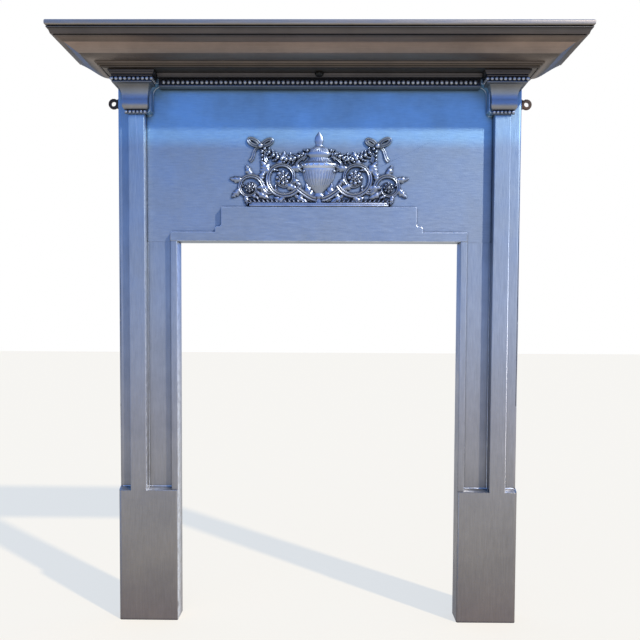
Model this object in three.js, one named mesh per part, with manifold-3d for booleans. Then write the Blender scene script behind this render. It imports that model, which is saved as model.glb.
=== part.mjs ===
// A cast iron fireplace surround of the size made for a bedroom.
// Two full-height jambs, a frieze panel between them, two corbels, a bead moulding, a hollow
// mitred cornice and a shelf are separate open-backed castings, held together by square-headed
// bolts and screws that go in from behind.
// Millimetres, +Z up, +X to the right of someone facing the fire, +Y towards the wall.

import * as THREE from "three";
import { mergeVertices } from "three/addons/utils/BufferGeometryUtils.js";
import Module from "manifold-3d";

const wasm = await Module();
wasm.setup();

// ---------------------------------------------------------------- driving dimensions

// Fire opening and the depth of the castings. Depths count from the pilaster face, y = 0.
const OPENING_HALF = 305;
const OPENING_HEIGHT = 830;
const DEPTH = 50;
const WALL = 6;
const LIP_WALL = 8;
const RETURN_WALL = 10;
const BACK_LIP = 22;
const GAP = 0.3;
const DRAFT = 1.5;

// Front relief of the jambs.
const FRAME_OUT = 319.5;
const FRAME_FACE = 4;
const PILASTER_IN = 373.5;
const PILASTER_OUT = 408.5;
const BODY_HALF = 436;
const RECESS = 20;
const PLINTH_HEIGHT = 287;
const PLINTH_HALF = 434;
const LEDGE_RISE = 6;
const FOOT_PLATE = 10;
const SOFT_EDGE = 2;

// Frieze: the stepped pedestal over the opening and the recessed panel's upper corners.
const LINTEL_TOP = 850;
const STEP_HALF = 223.5;
const STEP_TOP = 862;
const PEDESTAL_HALF = 210;
const PEDESTAL_TOP = 904;
const PANEL_TOP = 1163;
const SHOULDER_IN = 360.5;
const SHOULDER_BOTTOM = 1102;
const CORNER_RADIUS = 18;

// Shelf and cornice. Offsets count outwards from the fascia.
const SOFFIT = 1179.6;
const SOFFIT_PLATE = 4;
const FASCIA_HALF = 452;
const FASCIA_FRONT = -52;
const CORNICE_TOP = 1219;
const CYMA_START = [10.9, 1189.3];
const CYMA_END = [70.4, 1218];
const CORNICE_WALL = 3.5;
const LAND = 11;
const NOSING = 83.5;
const SHELF_TOP = 1244.3;
const SHELF_PLATE = 3.5;

// Corbels and bead rows.
const CORBEL_X = 391;
const CORBEL_BODY = [1107, 1155];
const CAP_HALF = 48.5;
const CAP_FRONT = -42;
const BED_HALF = 342.2;
const BED_BOTTOM = 1156;
const BEAD_PITCH = 10.2;
const CAP_BEAD_PITCH = 9.45;
const NECK_BEAD_PITCH = 8;

// Wall fixing ears.
const EAR = { x: 452, z: 1133, radius: 11.5, hole: 5.5, thickness: 6, reach: 22, hollow: 4 };
const EAR_TURN = 0.72 * Math.PI;
const EAR_STEPS = 10;

// Frieze ornament.
const ORNAMENT_BACK = RECESS - GAP;
const ORNAMENT_DEPTH = 14;

// Fasteners: shank radii, head sizes and the clearance of their holes.
const BOLT = { shank: 4, head: 13, headHeight: 6, nut: 13, nutHeight: 6.5 };
const SCREW = { shank: 2.6, head: 5, headHeight: 3 };
const CLEARANCE = 0.3;
// How far a drilled hole runs past the flange or wall that it goes through.
const DRILL = 12;
const ROUND = 12;
const FINE = 8;

// The group is moved along Y so that its origin is the middle of its footprint.
const MIDDLE_SHIFT = (NOSING - FASCIA_FRONT - DEPTH) / 2;

// ---------------------------------------------------------------- materials

const ironLook = { metalness: 0.85, roughness: 0.42 };
const BURNISHED = new THREE.MeshStandardMaterial({ color: 0x6d7079, ...ironLook });
const SHELF_IRON = new THREE.MeshStandardMaterial({ color: 0x5f6066, ...ironLook });
const RELIEF_IRON = new THREE.MeshStandardMaterial({ color: 0x8a8d98, ...ironLook });
const BOLT_IRON = new THREE.MeshStandardMaterial({ color: 0x3c3a38, metalness: 0.8, roughness: 0.6 });

// ---------------------------------------------------------------- solids from geometry

// A closed geometry as a solid. A profile drawn the other way round is turned face out.
function solid(geometry) {
  const bare = geometry.clone();
  bare.deleteAttribute("normal");
  bare.deleteAttribute("uv");
  const merged = mergeVertices(bare, 1e-3);
  const corners = new Uint32Array(merged.index.array);
  const make = () =>
    new wasm.Manifold(
      new wasm.Mesh({
        numProp: 3,
        vertProperties: new Float32Array(merged.attributes.position.array),
        triVerts: corners,
      }),
    );
  const made = make();
  if (made.volume() > 0) return made;
  for (let i = 0; i < corners.length; i += 3) {
    [corners[i + 1], corners[i + 2]] = [corners[i + 2], corners[i + 1]];
  }
  return make();
}

const join = (...pieces) => pieces.flat().reduce((whole, piece) => whole.add(piece));
const cut = (body, ...tools) => tools.flat().reduce((rest, tool) => rest.subtract(tool), body);

// The solid as a three.js mesh, flat shaded.
function casting(name, body, material) {
  const { vertProperties, triVerts } = body.getMesh();
  const geometry = new THREE.BufferGeometry();
  geometry.setAttribute("position", new THREE.BufferAttribute(new Float32Array(vertProperties), 3));
  geometry.setIndex(new THREE.BufferAttribute(new Uint32Array(triVerts), 1));
  const flat = geometry.toNonIndexed();
  flat.computeVertexNormals();
  const mesh = new THREE.Mesh(flat, material);
  mesh.name = name;
  return mesh;
}

function block(x0, x1, y0, y1, z0, z1) {
  const box = new THREE.BoxGeometry(Math.abs(x1 - x0), y1 - y0, z1 - z0);
  box.translate((x0 + x1) / 2, (y0 + y1) / 2, (z0 + z1) / 2);
  return solid(box);
}

// An outline from corners [a, b] or [a, b, radius].
function outline(corners) {
  const count = corners.length;
  const shape = new THREE.Shape();
  corners.forEach(([a, b, radius = 0], i) => {
    const here = new THREE.Vector2(a, b);
    const before = new THREE.Vector2(...corners[(i + count - 1) % count].slice(0, 2));
    const after = new THREE.Vector2(...corners[(i + 1) % count].slice(0, 2));
    const start = here.clone().add(before.sub(here).setLength(radius || 0));
    const end = here.clone().add(after.sub(here).setLength(radius || 0));
    if (i === 0) shape.moveTo(start.x, start.y);
    else shape.lineTo(start.x, start.y);
    if (radius > 0) shape.quadraticCurveTo(here.x, here.y, end.x, end.y);
  });
  shape.closePath();
  return shape;
}

function extrude(shape, depth, curveSegments = 3) {
  return new THREE.ExtrudeGeometry(shape, { depth, bevelEnabled: false, curveSegments });
}

// A plan outline (x, y) pulled up from z0 to z1.
function pullUp(shape, z0, z1) {
  return solid(extrude(shape, z1 - z0).translate(0, 0, z0));
}

// A front outline (x, z) pulled from y1 forwards to y0.
function pullForward(shape, y0, y1, curveSegments) {
  return solid(extrude(shape, y1 - y0, curveSegments).rotateX(Math.PI / 2).translate(0, y1, 0));
}

// A side outline (y, z) pulled from x0 to x1.
function pullAcross(shape, x0, x1) {
  const turn = new THREE.Matrix4().makeBasis(
    new THREE.Vector3(0, 1, 0),
    new THREE.Vector3(0, 0, 1),
    new THREE.Vector3(1, 0, 0),
  );
  return solid(extrude(shape, x1 - x0).applyMatrix4(turn).translate(x0, 0, 0));
}

// A closed body through matching rings of points. flat is the outline of its two ends.
function loft(rings, flat) {
  const count = rings[0].length;
  const faces = [];
  for (let ring = 0; ring + 1 < rings.length; ring++) {
    for (let i = 0; i < count; i++) {
      const a = ring * count + i;
      const b = ring * count + ((i + 1) % count);
      faces.push(a, b, b + count, a, b + count, a + count);
    }
  }
  const last = (rings.length - 1) * count;
  const turned = THREE.ShapeUtils.isClockWise(flat);
  for (const [a, b, c] of THREE.ShapeUtils.triangulateShape(flat, [])) {
    const [p, q, r] = turned ? [a, b, c] : [c, b, a];
    faces.push(p, q, r, last + r, last + q, last + p);
  }
  const points = rings.flat().flatMap((point) => point.toArray());
  const geometry = new THREE.BufferGeometry();
  geometry.setAttribute("position", new THREE.Float32BufferAttribute(points, 3));
  geometry.setIndex(faces);
  return solid(geometry);
}

// Two polygons with matching corners joined from y0 to y1: a raised panel with drafted sides.
function draftedPanel(front, back, y0, y1) {
  const ring = (corners, y) => corners.map(([x, z]) => new THREE.Vector3(x, y, z));
  const flat = front.map(([x, z]) => new THREE.Vector2(x, z));
  return loft([ring(front, y0), ring(back, y1)], flat);
}

// A moulding profile of [outward offset, height] carried round the front and both ends of a
// rectangle, mitred at the front corners. Its ends stop square at the two depths in backs.
function mitred(profile, half, front, backs, centre = 0) {
  const ring = (place) => profile.map(([out, z]) => new THREE.Vector3(...place(out), z));
  const rings = [
    ring((out) => [centre - half - out, backs[0]]),
    ring((out) => [centre - half - out, front - out]),
    ring((out) => [centre + half + out, front - out]),
    ring((out) => [centre + half + out, backs[1]]),
  ];
  return loft(rings, profile.map(([out, z]) => new THREE.Vector2(out, z)));
}

// Cylinder about x, y or z, from one end to the other.
function rod(axis, centre, from, to, radius, sides = ROUND) {
  const geometry = new THREE.CylinderGeometry(radius, radius, to - from, sides);
  if (axis === "x") geometry.rotateZ(Math.PI / 2);
  if (axis === "z") geometry.rotateX(Math.PI / 2);
  const middle = (from + to) / 2;
  const place = { x: [middle, ...centre], y: [centre[0], middle, centre[1]], z: [...centre, middle] };
  return solid(geometry.translate(...place[axis]));
}

// A row of oval beads along x, half sunk in the face behind them.
function beadRow(centre, count, pitch, y, z, radius, height = radius) {
  return Array.from({ length: count }, (_, i) => {
    const bead = new THREE.SphereGeometry(radius, 6, 4);
    bead.scale(1, 1, height / radius);
    return solid(bead.translate(centre + (i - (count - 1) / 2) * pitch, y, z));
  });
}

// A line of [a, b] points moved sideways by distance, to its left when distance is positive.
function offsetLine(points, distance) {
  const at = points.map(([a, b]) => new THREE.Vector2(a, b));
  return at.map((point, i) => {
    const before = point.clone().sub(at[Math.max(i - 1, 0)]);
    const after = at[Math.min(i + 1, at.length - 1)].clone().sub(point);
    const way = before.normalize().add(after.normalize()).normalize();
    return [point.x - way.y * distance, point.y + way.x * distance];
  });
}

// ---------------------------------------------------------------- fastener places

const FLANGE_BOLT = { y: 36, heights: [905, 1010, 1115] };
const LINTEL_BOLT = { x: 343, y: 36 };
const CORNICE_BOLTS = [-412, -130, 130, 412];
const SHELF_BOLTS = [[-260, 34], [0, -22], [260, 34]];
const REAR_LINE = 34;
const BED_SCREWS = [-215, 215];
const BED_SCREW_Y = 4;
const BED_GRIP = 3.8;
const CORBEL_SCREWS = [1120, 1147];
const ORNAMENT_SCREWS = [[-78, 968], [0, 985], [78, 968]];

const boltHole = (axis, centre, from, to) =>
  rod(axis, centre, from, to, BOLT.shank + CLEARANCE);
const screwHole = (axis, centre, from, to) =>
  rod(axis, centre, from, to, SCREW.shank + CLEARANCE, FINE);

// ---------------------------------------------------------------- jambs

// Plan outlines, drawn for the right-hand jamb and turned over by side = -1.
function planShape(side, corners) {
  return outline(corners.map(([x, y, radius]) => [side * x, y, radius]));
}

const strip = [
  [PILASTER_OUT, 0, SOFT_EDGE],
  [PILASTER_OUT + DRAFT, RECESS],
  [BODY_HALF, RECESS, 3 * SOFT_EDGE],
  [BODY_HALF, DEPTH],
  [BODY_HALF - BACK_LIP, DEPTH],
  [BODY_HALF - BACK_LIP, DEPTH - LIP_WALL],
  [BODY_HALF - RETURN_WALL, DEPTH - LIP_WALL],
  [BODY_HALF - RETURN_WALL, RECESS + WALL],
  [PILASTER_OUT - WALL, RECESS + WALL],
  [PILASTER_OUT - WALL, WALL],
];

// Beside the opening: return, frame bead, recessed panel, pilaster and outer strip.
function lowerPlan(side) {
  return planShape(side, [
    [OPENING_HALF, DEPTH],
    [OPENING_HALF, FRAME_FACE, SOFT_EDGE],
    [FRAME_OUT, FRAME_FACE, SOFT_EDGE],
    [FRAME_OUT + DRAFT, RECESS],
    [PILASTER_IN - DRAFT, RECESS],
    [PILASTER_IN, 0, SOFT_EDGE],
    ...strip,
    [PILASTER_IN + WALL, WALL],
    [PILASTER_IN + WALL, RECESS + WALL],
    [OPENING_HALF + RETURN_WALL, RECESS + WALL],
    [OPENING_HALF + RETURN_WALL, DEPTH - LIP_WALL],
    [OPENING_HALF + BACK_LIP, DEPTH - LIP_WALL],
    [OPENING_HALF + BACK_LIP, DEPTH],
  ]);
}

// Beside the frieze: the pilaster's inner side is the flange that the frieze bolts to.
function upperPlan(side) {
  const seam = PILASTER_IN + GAP / 2;
  return planShape(side, [
    [seam, DEPTH],
    [seam, 0, SOFT_EDGE],
    ...strip,
    [seam + WALL, WALL],
    [seam + WALL, DEPTH],
  ]);
}

// Hollow block at the foot, its front corners rounded and its top sloping up to the recess.
function plinth(side) {
  const plan = planShape(side, [
    [OPENING_HALF, DEPTH],
    [OPENING_HALF, 0, 2 * SOFT_EDGE],
    [PLINTH_HALF, 0, 3 * SOFT_EDGE],
    [BODY_HALF, RECESS],
    [BODY_HALF, DEPTH],
  ]);
  const top = PLINTH_HEIGHT + LEDGE_RISE;
  const front = planShape(side, [
    [OPENING_HALF - 1, 0, 2 * SOFT_EDGE],
    [BODY_HALF + 1, 0, 3 * SOFT_EDGE],
    [BODY_HALF + 1, top],
    [OPENING_HALF - 1, top],
  ]);
  const shell = pullUp(plan, 0, top).intersect(pullForward(front, -1, DEPTH));
  const slope = outline([[-1, PLINTH_HEIGHT], [RECESS, top], [RECESS, top + 1], [-1, top + 1]]);
  const [near, far] = side > 0 ? [OPENING_HALF, BODY_HALF] : [-BODY_HALF, -OPENING_HALF];
  const inside = [near + RETURN_WALL, far - RETURN_WALL];
  const pocket = block(...inside, WALL + 1, DEPTH - LIP_WALL, FOOT_PLATE, PLINTH_HEIGHT - WALL);
  const behind = block(...inside, RECESS + WALL, DEPTH - LIP_WALL, FOOT_PLATE, top + 1);
  const mouth = block(near + BACK_LIP, far - BACK_LIP, RECESS + WALL, DEPTH + 1, FOOT_PLATE, top + 1);
  return cut(shell, pullAcross(slope, near - 1, far + 1), pocket, behind, mouth);
}

// Rounded ear on the back edge with the hole for the screw into the wall.
function ear(side) {
  const shape = new THREE.Shape();
  const inside = BODY_HALF - WALL / 2;
  const turn = EAR_TURN;
  const touch = [EAR.x + EAR.radius * Math.cos(turn), EAR.radius * Math.sin(turn)];
  shape.moveTo(side * inside, EAR.z - EAR.reach);
  shape.lineTo(side * BODY_HALF, EAR.z - EAR.reach);
  const turnIn = side * (BODY_HALF + 1);
  const foot = EAR.z - touch[1];
  const head = EAR.z + touch[1];
  shape.quadraticCurveTo(turnIn, foot - EAR.hollow, side * touch[0], foot);
  for (let i = 1; i <= EAR_STEPS; i++) {
    const angle = -turn + (2 * turn * i) / EAR_STEPS;
    shape.lineTo(side * (EAR.x + EAR.radius * Math.cos(angle)), EAR.z + EAR.radius * Math.sin(angle));
  }
  shape.quadraticCurveTo(turnIn, head + EAR.hollow, side * BODY_HALF, EAR.z + EAR.reach);
  shape.lineTo(side * inside, EAR.z + EAR.reach);
  shape.closePath();
  return pullForward(shape, DEPTH - EAR.thickness, DEPTH);
}

const RIB_HEIGHTS = [470, 655];
const RIB = 5;
const RIB_BACK = DEPTH - 6;

function jamb(side) {
  const seamHeight = OPENING_HEIGHT - GAP / 2;
  const top = SOFFIT - GAP;
  const ends = (a, b) => (side > 0 ? [a, b] : [-b, -a]);
  const body = join(
    plinth(side),
    pullUp(lowerPlan(side), PLINTH_HEIGHT - WALL, seamHeight),
    pullUp(upperPlan(side), seamHeight - 1, top),
    ear(side),
  );
  // Flanges: one under the frieze's seam, one under the cornice, and ribs across the back.
  const seamFlange = block(
    ...ends(OPENING_HALF + 1, PILASTER_IN + WALL), RECESS + 1, DEPTH, seamHeight - WALL, seamHeight,
  );
  const headFlange = block(
    ...ends(PILASTER_IN + 1, BODY_HALF - 1), RECESS + 1, DEPTH, top - WALL, top,
  );
  const ribs = RIB_HEIGHTS.map((z) =>
    block(...ends(OPENING_HALF + 1, BODY_HALF - 1), RECESS + 1, RIB_BACK, z, z + RIB),
  );
  const holes = [
    rod("y", [side * EAR.x, EAR.z], 0, DEPTH + 1, EAR.hole),
    boltHole("z", [side * LINTEL_BOLT.x, LINTEL_BOLT.y], seamHeight - DRILL, seamHeight + 1),
    boltHole("z", [side * CORNICE_BOLTS[3], REAR_LINE], top - DRILL, top + 1),
    ...FLANGE_BOLT.heights.map((z) =>
      boltHole("x", [FLANGE_BOLT.y, z], ...ends(PILASTER_IN - 1, PILASTER_IN + DRILL)),
    ),
    ...CORBEL_SCREWS.map((z) => screwHole("y", [side * CORBEL_X, z], -1, WALL + 1)),
  ];
  return cut(join(body, seamFlange, headFlange, ribs), holes);
}

// ---------------------------------------------------------------- frieze panel

const STEP_CHAMFER = 3;
const PEDESTAL_FILLET = 4;

// Raised frame, step and pedestal over the opening. grow widens it all but at the bottom.
function pedestalOutline(grow) {
  const right = [
    [FRAME_OUT + grow, OPENING_HEIGHT + GAP / 2],
    [FRAME_OUT + grow, LINTEL_TOP + grow],
    [STEP_HALF + grow, LINTEL_TOP + grow],
    [STEP_HALF + grow, STEP_TOP + grow - STEP_CHAMFER],
    [STEP_HALF + grow - STEP_CHAMFER, STEP_TOP + grow],
    [PEDESTAL_HALF + grow + PEDESTAL_FILLET, STEP_TOP + grow],
    [PEDESTAL_HALF + grow, STEP_TOP + grow + PEDESTAL_FILLET],
    [PEDESTAL_HALF + grow, PEDESTAL_TOP + grow],
  ];
  return [...right, ...right.map(([x, z]) => [-x, z]).reverse()];
}

// Raised shoulder beside the corbel, with the recess's rounded corner. grow fills the recess.
function shoulderOutline(side, grow) {
  const edge = PILASTER_IN - GAP / 2;
  const corners = [[edge, SHOULDER_BOTTOM - grow], [SHOULDER_IN + 4, SHOULDER_BOTTOM - grow]];
  corners.push([SHOULDER_IN - grow, SHOULDER_BOTTOM + 5 - grow]);
  const steps = 6;
  for (let i = 0; i <= steps; i++) {
    const angle = (Math.PI / 2) * (i / steps);
    corners.push([
      SHOULDER_IN - CORNER_RADIUS + (CORNER_RADIUS - grow) * Math.cos(angle),
      PANEL_TOP - CORNER_RADIUS + (CORNER_RADIUS - grow) * Math.sin(angle),
    ]);
  }
  corners.push([SHOULDER_IN - CORNER_RADIUS, SOFFIT - GAP], [edge, SOFFIT - GAP]);
  return corners.map(([x, z]) => [side * x, z]);
}

function friezePanel() {
  const half = PILASTER_IN - GAP / 2;
  const bottom = OPENING_HEIGHT + GAP / 2;
  const top = SOFFIT - GAP;
  const plate = block(-half, half, RECESS, RECESS + WALL, bottom, top);
  const pedestal = draftedPanel(
    pedestalOutline(0), pedestalOutline(DRAFT), FRAME_FACE, RECESS + 1,
  );
  const shoulders = [-1, 1].map((side) =>
    draftedPanel(shoulderOutline(side, 0), shoulderOutline(side, DRAFT), 0, RECESS + 1),
  );
  const flanges = [
    block(-half, half, RECESS + 1, DEPTH, bottom, bottom + WALL),
    block(-OPENING_HALF - 1, OPENING_HALF + 1, FRAME_FACE + 1, DEPTH, bottom, bottom + WALL),
    block(-half, half, RECESS + 1, DEPTH, top - WALL, top),
    block(-half, -half + WALL, RECESS + 1, DEPTH, bottom, top),
    block(half - WALL, half, RECESS + 1, DEPTH, bottom, top),
  ];
  const hollow = block(
    -PEDESTAL_HALF + WALL, PEDESTAL_HALF - WALL,
    FRAME_FACE + WALL, RECESS + WALL + 1,
    bottom + WALL, PEDESTAL_TOP - WALL,
  );
  const flangeDrill = { 1: [half - DRILL, half + 1], [-1]: [-half - 1, -half + DRILL] };
  const holes = [
    ...[-1, 1].flatMap((side) => [
      boltHole("z", [side * LINTEL_BOLT.x, LINTEL_BOLT.y], bottom - 1, bottom + DRILL),
      ...FLANGE_BOLT.heights.map((z) => boltHole("x", [FLANGE_BOLT.y, z], ...flangeDrill[side])),
    ]),
    ...[CORNICE_BOLTS[1], CORNICE_BOLTS[2], SHELF_BOLTS[0][0], SHELF_BOLTS[2][0]].map((x) =>
      boltHole("z", [x, REAR_LINE], top - DRILL, top + 1),
    ),
    ...ORNAMENT_SCREWS.map((at) => screwHole("y", at, RECESS - 1, RECESS + WALL + 1)),
  ];
  const solidPart = join(plate, pedestal, shoulders);
  return cut(join(cut(solidPart, hollow), flanges), holes);
}

// ---------------------------------------------------------------- corbels

// Front outline of the bracket: half widths against height, as fractions of its body.
const CORBEL_FRONT = [
  [24, 0], [26.8, 0.08], [27.8, 0.2], [27.2, 0.36], [27.4, 0.54], [29, 0.72], [32, 0.88], [36, 1],
];
// Side outline: how far it stands out, against the same heights.
const CORBEL_SIDE = [
  [5, 0], [9, 0.06], [12, 0.18], [11.6, 0.34], [10.4, 0.5], [11.6, 0.68], [16.5, 0.84], [27, 1],
];

// The cap as [outward offset, height]: fillet, ground of the beads, fillet and two leaves that
// slant outwards to the soffit.
const CAP = { core: 41.5, front: -35, low: 1155, wall: 12, plate: 5 };
const CAP_TOP = SOFFIT - GAP;
const CAP_PROFILE = [
  [-CAP.wall, CAP.low], [0.8, CAP.low], [0.8, 1158], [-1.2, 1158.4], [-1.2, 1167.2],
  [1.8, 1167.5], [1.8, 1169.8], [0.6, 1170], [0.6, 1171.2], [2.8, 1171.4], [4.4, 1174.4],
  [5.6, 1175], [7, CAP_TOP], [-CAP.wall, CAP_TOP],
];
const CAP_BEADS = { z: 1162.8, radius: 4.3, front: 10, depths: [-25, -15.5, -6] };
const CORBEL_BITE = 8.6;
const NECK = { half: 24, low: 1098.5, front: -3.5, beads: 6, beadHeight: 1103, radius: 3.7 };

function corbel(side) {
  const [low, high] = CORBEL_BODY;
  const centre = side * CORBEL_X;
  const height = (part) => low + (high + 0.5 - low) * part;
  const right = CORBEL_FRONT.map(([half, part]) => [centre + half, height(part)]);
  const left = CORBEL_FRONT.map(([half, part]) => [centre - half, height(part)]).reverse();
  const front = pullForward(outline([...right, ...left]), CAP_FRONT, -GAP);
  const profile = CORBEL_SIDE.map(([out, part]) => [-out, height(part)]);
  const flank = outline([[-GAP, low], ...profile, [-GAP, high + 0.5]]);
  const bracket = front.intersect(pullAcross(flank, centre - CAP_HALF, centre + CAP_HALF));

  // The cap: its moulding stops at the panel on one side and runs back to the strip on the other.
  const wallEnd = RECESS - GAP;
  const backs = side > 0 ? [-GAP, wallEnd] : [wallEnd, -GAP];
  const moulding = mitred(CAP_PROFILE, CAP.core, CAP.front, backs, centre);
  const inside = [centre - CAP.core + 2, centre + CAP.core - 2, CAP.front + 2, -GAP];
  const plates = [
    block(...inside, CAP.low, CAP.low + CAP.plate),
    block(...inside, CAP_TOP - CAP.plate, CAP_TOP),
  ];
  const outer = PILASTER_OUT + DRAFT + GAP - CORBEL_X;
  const span = side > 0 ? [centre + outer, centre + CAP.core - 2] : [centre - CAP.core + 2, centre - outer];
  const wing = block(...span, -GAP - 1, wallEnd, CAP.low, CAP_TOP);

  const { z, radius, depths } = CAP_BEADS;
  const frontBeads = beadRow(centre, CAP_BEADS.front, CAP_BEAD_PITCH, CAP.front, z, radius);
  const sideBeads = [-1, 1].flatMap((end) =>
    depths.map((y) =>
      solid(new THREE.SphereGeometry(radius, 6, 4).translate(centre + end * CAP.core, y, z)),
    ),
  );
  const necking = block(centre - NECK.half, centre + NECK.half, NECK.front, -GAP, NECK.low, low + 0.5);
  const neckBeads = beadRow(centre, NECK.beads, NECK_BEAD_PITCH, NECK.front, NECK.beadHeight, NECK.radius);
  const holes = CORBEL_SCREWS.map((at) => screwHole("y", [centre, at], -CORBEL_BITE, 1));
  const across = [centre - CAP_HALF, centre + CAP_HALF];
  const flatBack = block(...across, -GAP, RECESS, NECK.low - 1, CAP.low - 1);
  return cut(
    join(bracket, moulding, plates, wing, frontBeads, sideBeads, necking, neckBeads),
    holes,
    flatBack,
  );
}

// ---------------------------------------------------------------- bed moulding

const NOTCH_RADIUS = 9.8;
const BED_FACE = 1;
const BED_FILLET = -20;

// Channel with a projecting top fillet and the long row of beads, open towards the panel.
function bedMoulding() {
  const top = SOFFIT - GAP;
  const section = outline([
    [RECESS - GAP, BED_BOTTOM],
    [BED_FACE - 2.5, BED_BOTTOM, 1],
    [BED_FACE - 2.5, BED_BOTTOM + 4],
    [BED_FACE, BED_BOTTOM + 4],
    [BED_FACE, top - 6.3],
    [BED_FILLET + 5, top - 6.3],
    [BED_FILLET, top - 0.8],
    [BED_FILLET, top],
    [RECESS - GAP, top],
    [RECESS - GAP, top - 5],
    [BED_FACE + 6, top - 5],
    [BED_FACE + 6, BED_BOTTOM + 5],
    [RECESS - GAP, BED_BOTTOM + 5],
  ]);
  const bar = pullAcross(section, -BED_HALF, BED_HALF);
  const count = 2 * Math.floor(BED_HALF / BEAD_PITCH);
  const beads = beadRow(0, count, BEAD_PITCH, BED_FACE, BED_BOTTOM + 10.4, 4.5, 5.6);
  const notch = rod("z", [SHELF_BOLTS[1][0], SHELF_BOLTS[1][1]], top - 7, top + 1, NOTCH_RADIUS);
  const holes = BED_SCREWS.map((x) =>
    screwHole("z", [x, BED_SCREW_Y], top - BED_GRIP - CLEARANCE, top + 1),
  );
  return cut(join(bar, beads), notch, holes);
}

// ---------------------------------------------------------------- cornice and shelf

// The big moulding between fascia and shelf: hollow below, turning concave near its top.
function cymaLine(steps) {
  const [x0, z0] = CYMA_START;
  const [x3, z3] = CYMA_END;
  const curve = new THREE.CubicBezierCurve(
    new THREE.Vector2(x0, z0),
    new THREE.Vector2(x0 + 19, z0 + 1.2),
    new THREE.Vector2(x3 - 26.4, z3 - 11),
    new THREE.Vector2(x3, z3),
  );
  return curve.getPoints(steps).map((point) => [point.x, point.y]);
}

function cornice() {
  const cyma = cymaLine(12);
  const inner = offsetLine(cyma, CORNICE_WALL).filter(([, z]) => z < CORNICE_TOP - 3).reverse();
  const reeds = [
    [0, SOFFIT], [0, SOFFIT + 3.2], [4, SOFFIT + 3.4], [4, SOFFIT + 6.3],
    [8, SOFFIT + 6.5], [8, SOFFIT + 9.4],
  ];
  const profile = [
    ...reeds,
    ...cyma,
    [CYMA_END[0], CORNICE_TOP],
    [CYMA_END[0] - LAND, CORNICE_TOP],
    ...inner,
    [-CORNICE_WALL, SOFFIT + 14],
    [-CORNICE_WALL, SOFFIT],
  ];
  const moulding = mitred(profile, FASCIA_HALF, FASCIA_FRONT, [DEPTH, DEPTH]);
  const plate = block(
    -FASCIA_HALF + 1, FASCIA_HALF - 1, FASCIA_FRONT + 1, DEPTH, SOFFIT, SOFFIT + SOFFIT_PLATE,
  );
  const holes = [
    ...CORNICE_BOLTS.map((x) => boltHole("z", [x, REAR_LINE], SOFFIT - 1, SOFFIT + DRILL)),
    ...SHELF_BOLTS.map((at) => boltHole("z", at, SOFFIT - 1, SOFFIT + DRILL)),
    ...BED_SCREWS.map((x) => screwHole("z", [x, BED_SCREW_Y], SOFFIT - 1, SOFFIT + DRILL)),
  ];
  return cut(join(moulding, plate), holes);
}

const BOSS_RADIUS = 10;

function mantelShelf() {
  const low = CORNICE_TOP + GAP;
  const profile = [
    [74.6, low],
    [77.2, 1226.4],
    [78.4, 1227.4],
    [78.4, 1228.4],
    [80.6, 1229],
    [81.4, 1230.2],
    [80.6, 1231.4],
    [78.8, 1232],
    [78.8, 1233],
    [81.8, 1233.2],
    [83.2, 1234.4],
    [NOSING, 1236.5],
    [NOSING, 1241.2],
    [82.8, 1243.2],
    [80.8, SHELF_TOP],
    [60, SHELF_TOP],
    [60, SHELF_TOP - SHELF_PLATE],
    [74, SHELF_TOP - SHELF_PLATE],
    [72.5, low + 4],
    [64, low + 4],
    [64, low],
  ];
  const rim = mitred(profile, FASCIA_HALF, FASCIA_FRONT, [DEPTH, DEPTH]);
  const plate = block(
    -FASCIA_HALF - 62, FASCIA_HALF + 62,
    FASCIA_FRONT - 62, DEPTH,
    SHELF_TOP - SHELF_PLATE, SHELF_TOP,
  );
  const pillarFoot = SOFFIT + SOFFIT_PLATE + GAP;
  const pillars = SHELF_BOLTS.map((at) =>
    rod("z", at, pillarFoot, SHELF_TOP - 2, BOSS_RADIUS),
  );
  const ribs = [-390, -130, 130, 390].map((x) =>
    block(x - 2, x + 2, FASCIA_FRONT - 64, DEPTH - 6, SHELF_TOP - 16, SHELF_TOP - 2),
  );
  const holes = SHELF_BOLTS.map((at) => boltHole("z", at, pillarFoot - 1, SHELF_TOP - 12));
  return cut(join(rim, plate, pillars, ribs), holes);
}

// ---------------------------------------------------------------- frieze ornament

// An urn between two pairs of leafy scrolls, with a husk festoon to a bow on either side.
// Every piece is a full round body centred on the panel, then cut flat at the back.

const GROUND = PEDESTAL_TOP + DRAFT + GAP;
const SCROLLS = [
  { x: 78, z: 968, radius: 41, start: 205, turn: 560, shrink: 0.74, stem: [6.5, 3.4], rosette: 16 },
  { x: 150, z: 947, radius: 29, start: 175, turn: -480, shrink: 0.72, stem: [5.4, 2.8], rosette: 11 },
];
const URN = [
  [0, 0], [22, 0], [22, 6], [14, 11], [7, 18], [11, 25], [7, 30], [13, 37], [28, 54], [36, 74],
  [37, 84], [41, 87], [41, 92], [29, 96], [19, 106], [26, 112], [26, 116], [16, 126], [6, 134],
  [9, 143], [8, 151], [0, 162],
];

// The strip that the ornament stands on: half width, depth, foot and top of its two steps.
const STRIP = [[150, 11, 0, 4], [146, 8.5, 4, 8]];
const SCREW_BITE = 6.5;

const degrees = (angle) => (angle * Math.PI) / 180;

function squashed(geometry, depth, reach) {
  return solid(geometry.scale(1, depth / reach, 1));
}

function urn() {
  const profile = URN.map(([r, z]) => new THREE.Vector2(r, z));
  const round = new THREE.LatheGeometry(profile, 10).rotateX(Math.PI / 2);
  const body = squashed(round, ORNAMENT_DEPTH, 40);
  return body.translate([0, ORNAMENT_BACK, GROUND]);
}

// Point on a scroll: its radius shrinks steadily as it winds round its centre.
function scrollPoint({ x, z, radius, start, turn, shrink }, part) {
  const angle = degrees(start + turn * part);
  const reach = radius * (1 - shrink * part);
  return new THREE.Vector2(x + reach * Math.cos(angle), z + reach * Math.sin(angle));
}

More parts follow.
